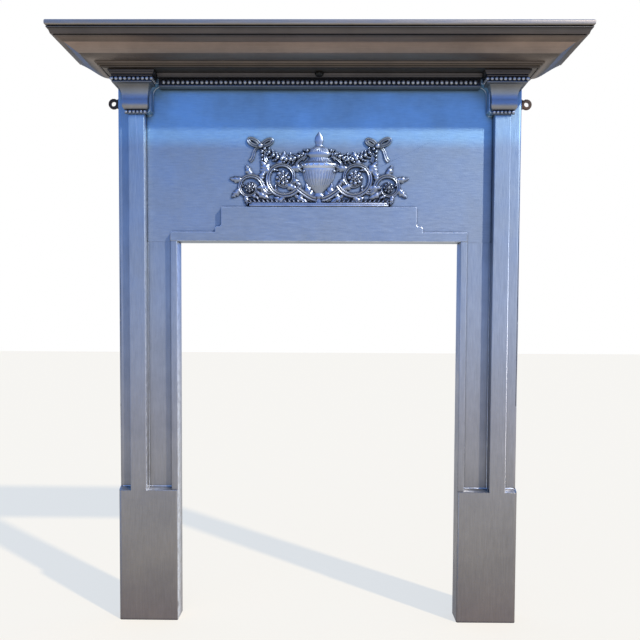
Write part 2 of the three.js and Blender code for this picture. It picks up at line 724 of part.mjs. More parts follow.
// A stem of half-oval section along a plane line, thinning from its root to its tip.
function stem(points, [root, tip], sides = 5) {
  const flat = Array.from({ length: sides }, (_, i) => {
    const angle = (2 * Math.PI * i) / sides;
    return new THREE.Vector2(Math.cos(angle), Math.sin(angle));
  });
  const rings = points.map((point, i) => {
    const before = points[Math.max(i - 1, 0)];
    const after = points[Math.min(i + 1, points.length - 1)];
    const along = after.clone().sub(before).normalize();
    const radius = root + ((tip - root) * i) / (points.length - 1);
    return flat.map(
      ({ x: across, y: out }) =>
        new THREE.Vector3(
          point.x - along.y * radius * across,
          ORNAMENT_BACK - out * radius * 1.2,
          point.y + along.x * radius * across,
        ),
    );
  });
  return loft(rings, flat);
}

// A pointed leaf with a raised midrib, from its root at (x, z) along an angle.
function leaf(x, z, angle, length, width) {
  const parts = [[0, 0.3], [0.3, 1], [0.65, 0.8], [1, 0.12]];
  const ring = [[-1, 0], [0, 1], [1, 0]];
  const along = new THREE.Vector2(Math.cos(degrees(angle)), Math.sin(degrees(angle)));
  const rings = parts.map(([part, wide]) => {
    const bend = 0.18 * length * part * part;
    return ring.map(
      ([across, out]) =>
        new THREE.Vector3(
          x + along.x * length * part - along.y * (width * wide * across + bend),
          ORNAMENT_BACK + 0.5 - out * (4 + 4.5 * wide),
          z + along.y * length * part + along.x * (width * wide * across + bend),
        ),
    );
  });
  return loft(rings, ring.map(([a, b]) => new THREE.Vector2(a, b)));
}

function rosette(x, z, radius) {
  const petals = 8;
  const shape = new THREE.Shape();
  for (let i = 0; i < petals * 2; i++) {
    const angle = (Math.PI * i) / petals;
    const reach = i % 2 === 0 ? radius * 0.78 : radius;
    const point = [x + reach * Math.cos(angle), z + reach * Math.sin(angle)];
    if (i === 0) shape.moveTo(...point);
    else shape.lineTo(...point);
  }
  const button = new THREE.SphereGeometry(radius * 0.36, 6, 4).scale(1, 0.9, 1);
  button.translate(x, ORNAMENT_BACK - 9, z);
  return join(pullForward(shape, ORNAMENT_BACK - 9, ORNAMENT_BACK), solid(button));
}

// Husks strung on a sagging line from the urn's neck to the bow.
const FESTOON = { from: [20, 1030], to: [122, 1034], sag: 26, husks: 9 };
const BOW = { x: 126, z: 1036, loop: 17, tail: 24 };

function festoonPoint(part) {
  const { from, to, sag } = FESTOON;
  const x = from[0] + (to[0] - from[0]) * part;
  const z = from[1] + (to[1] - from[1]) * part - sag * 4 * part * (1 - part);
  return [x, z];
}

function festoon() {
  return Array.from({ length: FESTOON.husks }, (_, i) => {
    const [x, z] = festoonPoint((i + 0.5) / FESTOON.husks);
    const [nextX, nextZ] = festoonPoint((i + 0.6) / FESTOON.husks);
    const slope = Math.atan2(nextZ - z, nextX - x);
    const plump = 5.2 + 2.4 * Math.sin((Math.PI * (i + 0.5)) / FESTOON.husks);
    const husk = new THREE.SphereGeometry(1, 4, 4).scale(9.4, plump, plump);
    husk.rotateY(-slope).translate(x, ORNAMENT_BACK - 2, z);
    return solid(husk);
  });
}

function bow() {
  const { x, z, loop, tail } = BOW;
  const knot = solid(new THREE.SphereGeometry(6, 6, 4).translate(x, ORNAMENT_BACK - 3, z));
  return [
    knot,
    leaf(x, z, 35, loop + 4, 6),
    leaf(x, z, 145, loop, 6),
    leaf(x, z, -60, tail, 4),
    leaf(x, z, -110, tail + 6, 4),
  ];
}

// Leaves that spring from the scrolls: place on the scroll, lean, length and half width.
const LEAVES = [
  [0, 0.02, 60, 30, 7], [0, 0.12, -35, 26, 7], [0, 0.24, -40, 28, 7], [0, 0.36, -38, 30, 8],
  [0, 0.47, -40, 30, 8], [0, 0.58, -42, 24, 7],
  [1, 0.06, 40, 24, 6], [1, 0.18, 42, 24, 6], [1, 0.3, 40, 26, 7], [1, 0.42, 42, 24, 6],
  [1, 0.54, 38, 22, 6],
];

function sprays() {
  return LEAVES.map(([index, part, lean, length, width]) => {
    const scroll = SCROLLS[index];
    const here = scrollPoint(scroll, part);
    const next = scrollPoint(scroll, part + 0.01);
    const heading = (Math.atan2(next.y - here.y, next.x - here.x) * 180) / Math.PI;
    return leaf(here.x, here.y, heading + lean, length, width);
  });
}

function rightHalf() {
  const steps = 18;
  const stems = SCROLLS.map((scroll) => {
    const line = Array.from({ length: steps + 1 }, (_, i) => scrollPoint(scroll, i / steps));
    return stem(line, scroll.stem);
  });
  const roots = [
    stem([new THREE.Vector2(8, 926), new THREE.Vector2(26, 930), scrollPoint(SCROLLS[0], 0.02)], [7, 6.5]),
    stem([new THREE.Vector2(104, 938), new THREE.Vector2(113, 934), scrollPoint(SCROLLS[1], 0.02)], [5, 5.4]),
  ];
  const flowers = SCROLLS.map(({ x, z, rosette: size }) => rosette(x, z, size));
  return join(stems, roots, flowers, sprays(), festoon(), bow());
}

function friezeOrnament() {
  const right = rightHalf();
  const left = right.mirror([1, 0, 0]);
  const ground = STRIP.map(([half, depth, low, high]) =>
    block(-half, half, ORNAMENT_BACK - depth, ORNAMENT_BACK, GROUND + low, GROUND + high),
  );
  const far = 2 * PEDESTAL_HALF;
  const behind = block(-far, far, ORNAMENT_BACK, ORNAMENT_BACK + far, GROUND - far, GROUND + far);
  const below = block(-far, far, -far, far, GROUND - far, GROUND);
  const holes = ORNAMENT_SCREWS.map((at) =>
    screwHole("y", at, ORNAMENT_BACK - SCREW_BITE, ORNAMENT_BACK + 1),
  );
  return cut(join(right, left, urn(), ground), behind, below, holes);
}

// ---------------------------------------------------------------- fasteners

// A square-headed bolt made along +z with its head's bearing face at z = 0, then turned.
function bolt(length, { round = false } = {}) {
  const head = round
    ? new THREE.CylinderGeometry(8, 8, BOLT.headHeight - 1.2, 6).rotateX(Math.PI / 2)
    : new THREE.BoxGeometry(BOLT.head, BOLT.head, BOLT.headHeight);
  const height = round ? BOLT.headHeight - 1.2 : BOLT.headHeight;
  head.translate(0, 0, -height / 2);
  return join(solid(head), rod("z", [0, 0], -1, length, BOLT.shank, FINE));
}

function nut() {
  const body = new THREE.BoxGeometry(BOLT.nut, BOLT.nut, BOLT.nutHeight);
  body.translate(0, 0, BOLT.nutHeight / 2);
  return cut(solid(body), rod("z", [0, 0], -1, BOLT.nutHeight + 1, BOLT.shank + CLEARANCE, FINE));
}

function screw(length) {
  const half = SCREW.head;
  const dome = [
    [0, 0], [half, 0], [half, -SCREW.headHeight * 0.4], [half * 0.7, -SCREW.headHeight * 0.85],
    [0, -SCREW.headHeight],
  ].map(([r, z]) => new THREE.Vector2(r, z));
  const head = new THREE.LatheGeometry(dome, FINE).rotateX(Math.PI / 2);
  return join(solid(head), rod("z", [0, 0], -0.5, length, SCREW.shank, 6));
}

// Turns that send a fastener's +z along each axis.
const ALONG = {
  "+x": new THREE.Euler(0, Math.PI / 2, 0),
  "-x": new THREE.Euler(0, -Math.PI / 2, 0),
  "+z": new THREE.Euler(0, 0, 0),
  "-z": new THREE.Euler(Math.PI, 0, 0),
  "-y": new THREE.Euler(Math.PI / 2, 0, 0),
};

function fastener(name, body, along, position) {
  const mesh = casting(name, body, BOLT_IRON);
  mesh.rotation.copy(ALONG[along]);
  mesh.position.set(...position);
  return mesh;
}

const sideName = (side) => (side > 0 ? "right" : "left");

// The bolts through the flanges between each jamb and the frieze, with their nuts.
function frameFasteners() {
  const bearing = PILASTER_IN - GAP / 2 - WALL - GAP;
  const farSide = PILASTER_IN + GAP / 2 + WALL + GAP;
  const across = bolt(farSide - bearing + BOLT.nutHeight + 2);
  const upright = bolt(2 * WALL + 3 * GAP + BOLT.nutHeight + 2);
  const holder = nut();
  return [-1, 1].flatMap((side) => {
    const outward = side > 0 ? "+x" : "-x";
    const beside = FLANGE_BOLT.heights.flatMap((z, i) => [
      fastener(`${sideName(side)}_flange_bolt_${i + 1}`, across, outward, [side * bearing, FLANGE_BOLT.y, z]),
      fastener(`${sideName(side)}_flange_nut_${i + 1}`, holder, outward, [side * farSide, FLANGE_BOLT.y, z]),
    ]);
    const x = side * LINTEL_BOLT.x;
    const low = OPENING_HEIGHT - GAP / 2 - WALL - GAP;
    const high = OPENING_HEIGHT + GAP / 2 + WALL + GAP;
    return [
      ...beside,
      fastener(`${sideName(side)}_lintel_bolt`, upright, "+z", [x, LINTEL_BOLT.y, low]),
      fastener(`${sideName(side)}_lintel_nut`, holder, "+z", [x, LINTEL_BOLT.y, high]),
    ];
  });
}

// The bolts that hold cornice and shelf down on the frieze and the jambs.
function shelfFasteners() {
  const flangeUnder = SOFFIT - GAP - WALL - GAP;
  const plateTop = SOFFIT + SOFFIT_PLATE + GAP;
  const short = bolt(plateTop - flangeUnder + BOLT.nutHeight + 2);
  const long = bolt(SHELF_TOP - 14 - flangeUnder);
  const visible = bolt(SHELF_TOP - 14 - SOFFIT + GAP, { round: true });
  const intoBed = screw(SOFFIT_PLATE + 2 * GAP + BED_GRIP);
  const holder = nut();
  const corniceBolts = CORNICE_BOLTS.flatMap((x, i) => [
    fastener(`cornice_bolt_${i + 1}`, short, "+z", [x, REAR_LINE, flangeUnder]),
    fastener(`cornice_nut_${i + 1}`, holder, "+z", [x, REAR_LINE, plateTop]),
  ]);
  const shelfBolts = SHELF_BOLTS.map(([x, y], i) =>
    i === 1
      ? fastener(`shelf_bolt_${i + 1}`, visible, "+z", [x, y, SOFFIT - GAP])
      : fastener(`shelf_bolt_${i + 1}`, long, "+z", [x, y, flangeUnder]),
  );
  const bedScrews = BED_SCREWS.map((x, i) =>
    fastener(`bed_screw_${i + 1}`, intoBed, "-z", [x, BED_SCREW_Y, plateTop]),
  );
  return [...corniceBolts, ...shelfBolts, ...bedScrews];
}

// Screws from behind into the corbels and the ornament.
function trimFasteners() {
  const intoCorbel = screw(WALL + GAP + 8);
  const intoOrnament = screw(WALL + GAP + 5.5);
  const corbelScrews = [-1, 1].flatMap((side) =>
    CORBEL_SCREWS.map((z, i) =>
      fastener(
        `${sideName(side)}_corbel_screw_${i + 1}`, intoCorbel, "-y", [side * CORBEL_X, WALL + GAP, z],
      ),
    ),
  );
  const ornamentScrews = ORNAMENT_SCREWS.map(([x, z], i) =>
    fastener(`ornament_screw_${i + 1}`, intoOrnament, "-y", [x, RECESS + WALL + GAP, z]),
  );
  return [...corbelScrews, ...ornamentScrews];
}

// ---------------------------------------------------------------- assembly

const surround = new THREE.Group();
surround.position.y = MIDDLE_SHIFT;
surround.add(
  casting("left_jamb", jamb(-1), BURNISHED),
  casting("right_jamb", jamb(1), BURNISHED),
  casting("frieze_panel", friezePanel(), BURNISHED),
  casting("frieze_ornament", friezeOrnament(), RELIEF_IRON),
  casting("left_corbel", corbel(-1), BURNISHED),
  casting("right_corbel", corbel(1), BURNISHED),
  casting("bed_moulding", bedMoulding(), BURNISHED),
  casting("shelf_cornice", cornice(), SHELF_IRON),
  casting("mantel_shelf", mantelShelf(), SHELF_IRON),
  ...frameFasteners(),
  ...shelfFasteners(),
  ...trimFasteners(),
);

const fireplace = new THREE.Group();
fireplace.name = "cast_iron_fireplace";
fireplace.add(surround);

export default fireplace;
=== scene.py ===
"""Cast iron fireplace surround: the finish of every casting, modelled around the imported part."""

import math

import bmesh
import bpy
from mathutils import Matrix, Vector
from mathutils.geometry import interpolate_bezier


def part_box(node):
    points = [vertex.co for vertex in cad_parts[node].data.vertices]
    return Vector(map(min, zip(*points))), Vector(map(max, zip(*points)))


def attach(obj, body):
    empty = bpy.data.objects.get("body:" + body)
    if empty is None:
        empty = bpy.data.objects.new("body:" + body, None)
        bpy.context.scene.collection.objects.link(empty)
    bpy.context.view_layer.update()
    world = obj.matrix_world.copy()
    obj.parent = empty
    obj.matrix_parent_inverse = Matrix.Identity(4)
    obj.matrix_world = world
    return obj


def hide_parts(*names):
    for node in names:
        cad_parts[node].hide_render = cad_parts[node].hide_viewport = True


bl_info = {
    "name": "Cast Iron Fireplace Surround",
    "version": (1, 0, 0),
    "blender": (4, 5, 0),
    "location": "View3D > Sidebar > Fireplace",
    "description": "Burnished castings, bead mouldings, relief and fasteners of a fireplace surround",
    "category": "Add Mesh",
}

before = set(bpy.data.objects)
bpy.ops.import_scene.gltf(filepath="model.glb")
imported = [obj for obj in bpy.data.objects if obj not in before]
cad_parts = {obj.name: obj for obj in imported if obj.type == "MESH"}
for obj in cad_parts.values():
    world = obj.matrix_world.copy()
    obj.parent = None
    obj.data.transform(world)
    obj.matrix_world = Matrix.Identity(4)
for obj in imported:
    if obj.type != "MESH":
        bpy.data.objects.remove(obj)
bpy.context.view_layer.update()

MM = 0.001
# Depths are counted from the pilasters' front face, as the pattern maker counts them.
FACE_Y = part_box("left_jamb")[0].y


def place(x, depth, z):
    """A point given in millimetres: from the middle, from the pilaster face, above the hearth."""
    return Vector((x * MM, FACE_Y + depth * MM, z * MM))


# ---- settings


class CastingSettings(bpy.types.PropertyGroup):
    """Sizes that the finish of the plain castings follows."""

    edge_radius: bpy.props.FloatProperty(
        name="Edge Radius",
        description="How far the sharp edges of the castings are rubbed round",
        default=1.3 * MM,
        min=0.0,
        unit="LENGTH",
        precision=5,
    )
    bead_sides: bpy.props.IntProperty(
        name="Bead Sides",
        description="Faces round each bead of the bead mouldings",
        default=14,
        min=6,
    )


class StageSettings(bpy.types.PropertyGroup):
    """Camera and light."""

    lens: bpy.props.FloatProperty(
        name="Lens",
        description="Focal length in millimetres on a sensor 36 mm wide",
        default=41.36,
        min=1.0,
    )
    key_strength: bpy.props.FloatProperty(
        name="Key Light",
        description="Strength of the sun from the upper right",
        default=5.0,
        min=0.0,
    )


# ---- colours and nodes


def tone(sheet_colour):
    """An sRGB hex value as a linear colour."""
    value = int(sheet_colour.lstrip("#"), 16)
    parts = [(value >> shift & 255) / 255 for shift in (16, 8, 0)]
    linear = [p / 12.92 if p <= 0.04045 else ((p + 0.055) / 1.055) ** 2.4 for p in parts]
    return (*linear, 1.0)


def per_metre(millimetres):
    """Noise scale that gives a pattern of this size."""
    return 1000 / millimetres


def add(tree, kind, inputs=None, **settings):
    """Adds one node with its settings. An input is a value or another node's output."""
    node = tree.nodes.new(kind)
    for key, value in settings.items():
        setattr(node, key, value)
    for key, value in (inputs or {}).items():
        if isinstance(value, bpy.types.NodeSocket):
            tree.links.new(value, node.inputs[key])
        else:
            node.inputs[key].default_value = value
    return node


def noise_on(tree, coordinates, size, stretch=(1, 1, 1), detail=4.0, roughness=0.6):
    """Noise of a size in millimetres, drawn out along an axis by a stretch below 1."""
    scale = [per_metre(size) * s for s in stretch]
    mapped = add(tree, "ShaderNodeMapping", {"Vector": coordinates, "Scale": scale})
    made = add(
        tree,
        "ShaderNodeTexNoise",
        {"Vector": mapped.outputs[0], "Scale": 1.0, "Detail": detail, "Roughness": roughness},
    )
    return made.outputs["Fac"]


def ranged(tree, value, low, high, to_low=0.0, to_high=1.0):
    """Spreads a value from low..high to to_low..to_high, clamped."""
    made = add(
        tree,
        "ShaderNodeMapRange",
        {"Value": value, "From Min": low, "From Max": high, "To Min": to_low, "To Max": to_high},
    )
    return made.outputs[0]


def blend(tree, factor, first, second, way="MIX"):
    """Mixes two colours; a factor of 0 gives the first."""
    inputs = {0: factor, 6: first, 7: second}
    made = add(tree, "ShaderNodeMix", inputs, data_type="RGBA", blend_type=way)
    return made.outputs[2]


def maths(tree, operation, first, second):
    """Works out a value from two others."""
    made = add(tree, "ShaderNodeMath", {0: first, 1: second}, operation=operation)
    return made.outputs[0]


def empty_material(name):
    """A material with an empty node tree."""
    material = bpy.data.materials.new(name)
    material.use_nodes = True
    material.node_tree.nodes.clear()
    return material, material.node_tree


# ---- materials


def ramped(tree, part, stops):
    """A colour that changes from 0 to 1; each stop is (part, linear colour), lowest first."""
    ramp = add(tree, "ShaderNodeValToRGB", {"Fac": part})
    marks = ramp.color_ramp.elements
    for _ in stops[2:]:
        marks.new(0.5)
    for mark, (position, colour) in zip(marks, stops):
        mark.position = position
        mark.color = colour
    return ramp.outputs["Color"]


def graded(tree, factor, stops):
    """A colour that changes along a value; each stop is (value, sheet colour), lowest first."""
    low, high = stops[0][0], stops[-1][0]
    marks = [((value - low) / (high - low), tone(colour)) for value, colour in stops]
    return ramped(tree, ranged(tree, factor, low, high), marks)


# Graphite polish over the height of the casting in metres, with painted reflection and shade:
# darker and browner towards the foot as painted reflection of the ground, bluer towards the
# frieze as painted reflection of the sky, and bluest under the shelf as painted shade.
POLISH_AND_PAINTED_REFLECTION_TONES = (
    (0.02, "#736b67"), (0.12, "#7f7972"), (0.24, "#8a857e"), (0.45, "#918f8f"), (0.66, "#92979f"),
    (1.03, "#7c8a99"), (1.055, "#81a2ba"),
)
# The corbels and bead mouldings are greyer, with painted reflection in bands along their height
# and painted shade, darkest under the cove.
TRIM_PAINTED_SHADE_TONES = (
    (1.098, "#6d7684"), (1.112, "#8d8b8a"), (1.122, "#8792a4"), (1.138, "#8792a4"),
    (1.152, "#777675"), (1.158, "#636973"), (1.168, "#4e4a4a"),
)


METALLIC = 0.9
# Colour of the faces that never were polished, where clean and where rusty.
RAW_IRON = ("#4a4543", "#5d483b")
# Sizes in millimetres of the clouds in the polish, the rubbing, the rust and the cast grain.
CLOUD_SIZE = 90
RUB_SIZE = 14
RUST_SIZE = 40
GRAIN_SIZE = 2.2
# How much smoother rubbed iron is, how much rougher unpolished iron, and how high the marks stand.
RUBBED_SMOOTHER = 0.13
RAW_ROUGHER = 0.25
MARK_HEIGHT = 0.6 * MM


def iron_material(
    name, tones, streak, blacklead_and_shade, wear_and_highlight_tone, roughness=0.46, reach=0.012, side_shade=None, lugs=None
):
    """Cast iron rubbed with graphite polish.

    Reach is how far in metres the painted shade in a hollow darkens its sides; the colour given for
    faces turned to the left or right is painted on them as shade; lugs is the half width in metres
    past which nothing was polished. The tones along the height hold painted reflection and shade,
    and the wear marks hold painted highlights as well as wear.
    """
    material, tree = empty_material(name)
    coordinates = add(tree, "ShaderNodeTexCoord")
    here = coordinates.outputs["Object"]
    place_xyz = add(tree, "ShaderNodeSeparateXYZ", {"Vector": here})
    facing = add(tree, "ShaderNodeSeparateXYZ", {"Vector": coordinates.outputs["Normal"]})

    clouds = noise_on(tree, here, CLOUD_SIZE, detail=6.0)
    patches = ranged(tree, clouds, 0.35, 0.68, 1.08, 0.9)
    colour = graded(tree, place_xyz.outputs["Z"], tones)

    strokes = noise_on(tree, here, streak[0], streak[1], detail=5.0, roughness=0.7)
    stroke_dark = maths(tree, "MULTIPLY", patches, ranged(tree, strokes, 0.3, 0.7, 0.9, 1.08))
    colour = blend(tree, 1.0, colour, stroke_dark, "MULTIPLY")

    # Painted shade: hollows are darkened towards the given colour, together with the blacklead left in
    # them.
    crevice = add(tree, "ShaderNodeAmbientOcclusion", {"Distance": reach}, samples=6)
    open_air = ranged(tree, crevice.outputs["AO"], 0.35, 0.9)
    colour = blend(tree, open_air, tone(blacklead_and_shade), colour)
    # Wear and painted highlight: marked edges, bead fronts, high relief and the sunlit sides of steps are
    # lightened.
    wear_and_highlight = add(tree, "ShaderNodeAttribute", attribute_name="wear_and_highlight")
    rub = noise_on(tree, here, RUB_SIZE, detail=3.0)
    rubbed = maths(tree, "MULTIPLY", wear_and_highlight.outputs["Fac"], ranged(tree, rub, 0.3, 0.6, 0.35, 1.0))
    colour = blend(tree, rubbed, colour, tone(wear_and_highlight_tone))

    # Painted shade on the faces turned to the left or right, such as the shelf's ends.
    if side_shade:
        sideways = maths(tree, "ABSOLUTE", facing.outputs["X"], 0.0)
        colour = blend(tree, ranged(tree, sideways, 0.08, 0.35), colour, tone(side_shade))

    unpolished = ranged(tree, facing.outputs["Y"], 0.3, 0.6)
    if lugs:
        outwards = maths(tree, "ABSOLUTE", place_xyz.outputs["X"], 0.0)
        past = ranged(tree, outwards, lugs, lugs + MM)
        unpolished = maths(tree, "MAXIMUM", unpolished, past)
    rust = ranged(tree, noise_on(tree, here, RUST_SIZE, detail=8.0), 0.4, 0.7)
    raw = blend(tree, rust, *(tone(colour) for colour in RAW_IRON))
    colour = blend(tree, unpolished, colour, raw)

    grain = noise_on(tree, here, GRAIN_SIZE, detail=2.0)
    sheen = ranged(tree, clouds, 0.3, 0.7, roughness - 0.06, roughness + 0.07)
    sheen = maths(tree, "ADD", sheen, ranged(tree, strokes, 0.3, 0.7, -0.04, 0.04))
    sheen = maths(tree, "SUBTRACT", sheen, maths(tree, "MULTIPLY", rubbed, RUBBED_SMOOTHER))
    sheen = maths(tree, "ADD", sheen, maths(tree, "MULTIPLY", unpolished, RAW_ROUGHER))

    relief = maths(tree, "ADD", maths(tree, "MULTIPLY", grain, 0.5), strokes)
    bump = add(
        tree, "ShaderNodeBump", {"Strength": 0.35, "Distance": MARK_HEIGHT, "Height": relief}
    )
    shader = add(
        tree,
        "ShaderNodeBsdfPrincipled",
        {"Base Color": colour, "Roughness": sheen, "Normal": bump.outputs[0], "Metallic": METALLIC},
    )
    add(tree, "ShaderNodeOutputMaterial", {"Surface": shader.outputs[0]})
    return material


# The jambs end here; only the wall ears and their feet reach farther out.
LUG_START = 436.5
# The shelf and cornice by height, browner: painted shade at the foot of the cove and in the band
# under the nosing, lighter on the cove and the nosing as painted reflection.
SHELF_PAINTED_SHADE_TONES = (
    (1.184, "#554c44"), (1.191, "#7b6f67"), (1.197, "#867971"), (1.215, "#8b776a"),
    (1.2188, "#544d4a"), (1.2315, "#55524f"), (1.2345, "#8a8278"), (1.244, "#817a74"),
)
# The irons, and what is told of each to iron_material.
IRONS = {
    # The jambs, brushed upwards, with less of the painted blue at the top.
    "blackleaded_cast_iron": dict(
        tones=(*POLISH_AND_PAINTED_REFLECTION_TONES[:-1], (1.06, "#8099ae")), streak=(2.4, (1, 1, 0.06)),
        blacklead_and_shade="#1a1f2b", wear_and_highlight_tone="#e4e8ee", reach=0.006, lugs=LUG_START * MM,
    ),
    # The frieze panel: the same polish, brushed from side to side.
    "blackleaded_frieze_iron": dict(
        tones=POLISH_AND_PAINTED_REFLECTION_TONES, streak=(3.0, (0.12, 1, 1)), blacklead_and_shade="#1a1f2b", wear_and_highlight_tone="#c6ccd6",
        reach=0.006,
    ),
    # Corbels and bead mouldings: the same iron, its high beads rubbed brighter and given a painted
    # highlight.
    "blackleaded_moulding_iron": dict(
        tones=TRIM_PAINTED_SHADE_TONES, streak=(2.4, (1, 1, 1)), blacklead_and_shade="#10141d", wear_and_highlight_tone="#d2d8e2",
    ),
    # Shelf and cornice: browner, brushed along their length, with painted shade in the cove and on the
    # turned ends.
    "brushed_shelf_cast_iron": dict(
        tones=SHELF_PAINTED_SHADE_TONES, streak=(2.2, (0.03, 1, 1)), blacklead_and_shade="#171413", wear_and_highlight_tone="#a9adb6",
        roughness=0.42, reach=0.04, side_shade="#2e2b29",
    ),
    # The relief, smoother, its high points rubbed bright with a painted highlight, and a little bluer
    # towards the top as painted reflection.
    "rubbed_relief_cast_iron": dict(
        tones=((0.9, "#8b919e"), (1.08, "#8593a6")), streak=(9, (1, 1, 1)), blacklead_and_shade="#0c101a",
        wear_and_highlight_tone="#cdd3dd", roughness=0.34,
    ),
    # Black iron bolts, nuts and screws.
    "black_iron_fastener": dict(
        tones=((0.0, "#3c3a38"), (1.2, "#383633")), streak=(2.0, (1, 1, 1)), blacklead_and_shade="#0f0e0d",
        wear_and_highlight_tone="#6b6864", roughness=0.55,
    ),
}


def polished(name):
    """Makes the iron of this name."""
    return iron_material(name, **IRONS[name])


# ---- shaping


def of_kind(items, kind):
    return [item for item in items if isinstance(item, kind)]


def verts_of(made):
    return of_kind(made["geom"], bmesh.types.BMVert)


def edges_at(verts):
    return list(dict.fromkeys(edge for vert in verts for edge in vert.link_edges))


def rim_of(made):
    return [edge for edge in of_kind(made["geom"], bmesh.types.BMEdge) if edge.is_boundary]


def sweep(bm, section, frames):
    """Pulls a closed section of (across, out) points through a run of frames and caps its ends."""
    corners = [bm.verts.new(frames[0] @ Vector((across, out, 0))) for across, out in section]
    bm.faces.new(corners)
    rim = [bm.edges.get((corner, corners[i - 1])) for i, corner in enumerate(corners)]
    made = list(corners)
    for before, after in zip(frames, frames[1:]):
        pulled = bmesh.ops.extrude_edge_only(bm, edges=rim)
        ring = verts_of(pulled)
        rim = rim_of(pulled)
        bmesh.ops.transform(bm, matrix=after @ before.inverted(), verts=ring)
        made += ring
    bmesh.ops.contextual_create(bm, geom=rim)
    return made


def frame_of(origin, across, out, along):
    """A frame whose columns are the directions that across, out and along point in."""
    turn = Matrix((across, out, along)).transposed().to_4x4()
    turn.translation = origin
    return turn


def mesh_of(bm, name):
    """Writes a finished model to a new mesh."""
    mesh = bpy.data.meshes.new(name)
    bm.to_mesh(mesh)
    bm.free()
    return mesh


def round_off(bm, geom, radius, segments, affect="EDGES", clamp=True):
    """Rounds edges, or the corners of a line."""
    return bmesh.ops.bevel(
        bm,
        geom=geom,
        offset=radius,
        offset_type="OFFSET",
        segments=segments,
        profile=0.5,
        affect=affect,
        clamp_overlap=clamp,
        material=-1,
    )


def pillar(bm, x, depth, low, high, radius, sides):
    """An upright cylinder between two heights, all in millimetres."""
    bmesh.ops.create_cone(
        bm,
        cap_ends=True,
        segments=sides,
        radius1=radius * MM,
        radius2=radius * MM,
        depth=(high - low) * MM,
        matrix=Matrix.Translation(place(x, depth, (low + high) / 2)),
    )


def slab(bm, low, high, radius, segments=3):
    """A block between two corners with its edges rounded."""
    size = high - low
    matrix = Matrix.Translation((low + high) / 2) @ Matrix.Diagonal((*size, 1.0))
    made = bmesh.ops.create_cube(bm, size=1.0, matrix=matrix)
    round_off(bm, edges_at(made["verts"]), radius, segments)


# How brightly the front of a bead is rubbed and given a painted highlight, from 0 to 1.
BEAD_WEAR_AND_HIGHLIGHT = 0.6


def bead(bm, centre, radius, height=None, sides=14):
    """One round or oval bead, its front rubbed bright and given a painted highlight."""
    scale = Matrix.Diagonal((radius, radius, height or radius, 1.0))
    turned = Matrix.Rotation(math.pi / 2, 4, "X")
    made = bmesh.ops.create_uvsphere(
        bm,
        u_segments=sides,
        v_segments=max(sides // 2, 4),
        radius=1.0,
        matrix=Matrix.Translation(centre) @ scale @ turned,
    )
    wear_and_highlight = bm.verts.layers.float["wear_and_highlight"]
    for vert in made["verts"]:
        vert[wear_and_highlight] = BEAD_WEAR_AND_HIGHLIGHT * max(0.0, (centre.y - vert.co.y) / radius)


def parts(count):
    """Evenly spaced values from 0 to 1."""
    return [i / count for i in range(count + 1)]


def spread(count, pitch):
    """Evenly pitched places to both sides of a middle."""
    return [(i - (count - 1) / 2) * pitch for i in range(count)]


def between(points, part):
    """Value at a place on a line of (value, place) points, eased smoothly through them."""
    last = len(points) - 1
    index = next((i for i in range(last) if part <= points[i + 1][1]), last - 1)
    (v0, p0), (v1, p1) = points[index], points[index + 1]

    def slope(i):
        before, after = points[max(i - 1, 0)], points[min(i + 1, last)]
        return (after[0] - before[0]) / (after[1] - before[1])

    span = p1 - p0
    t = (part - p0) / span
    rise = (2 * t**3 - 3 * t**2 + 1) * v0 + (t**3 - 2 * t**2 + t) * span * slope(index)
    return rise + (3 * t**2 - 2 * t**3) * v1 + (t**3 - t**2) * span * slope(index + 1)


def cubic(first, second, third, fourth, steps):
    """Points of a cubic curve in the plane."""
    flat = [Vector((*point, 0.0)) for point in (first, second, third, fourth)]
    curve = interpolate_bezier(*flat, steps + 1)
    return [(point.x, point.y) for point in curve]


def rounded(points, radius, segments=3):
    """A closed outline with each corner of (a, b) or (a, b, radius) turned on a small arc."""
    made = []
    count = len(points)
    for i, point in enumerate(points):
        here = Vector(point[:2])
        turn = point[2] if len(point) > 2 else radius
        before = Vector(points[i - 1][:2]) - here
        after = Vector(points[(i + 1) % count][:2]) - here
        reach = min(turn, 0.45 * before.length, 0.45 * after.length)
        if reach < 0.05:
            made.append(tuple(here))
            continue
        start = here + before.normalized() * reach
        end = here + after.normalized() * reach
        for t in parts(segments):
            made.append(tuple(start * (1 - t) ** 2 + here * 2 * t * (1 - t) + end * t**2))
    return made


def mitred(bm, section, centre, half, front, backs):
    """Carries a moulding of (out, height) points round the front and both ends of a block.

    The corners are mitred. backs are the depths at which its left and right ends stop.
    """
    left_back, right_back = backs
    runs = (
        (-half, left_back, (-1, 0, 0), (0, -1, 0)),
        (-half, front, (-1, -1, 0), (1, -1, 0)),
        (half, front, (1, -1, 0), (1, 1, 0)),
        (half, right_back, (1, 0, 0), (0, 1, 0)),
    )
    frames = [
        frame_of(place(centre + x, depth, 0), Vector(out) * MM, Vector((0, 0, MM)), Vector(along) * MM)
        for x, depth, out, along in runs
    ]
    sweep(bm, section, frames)


HOLE_SIDES = 24
BOSS_SIDES = 32


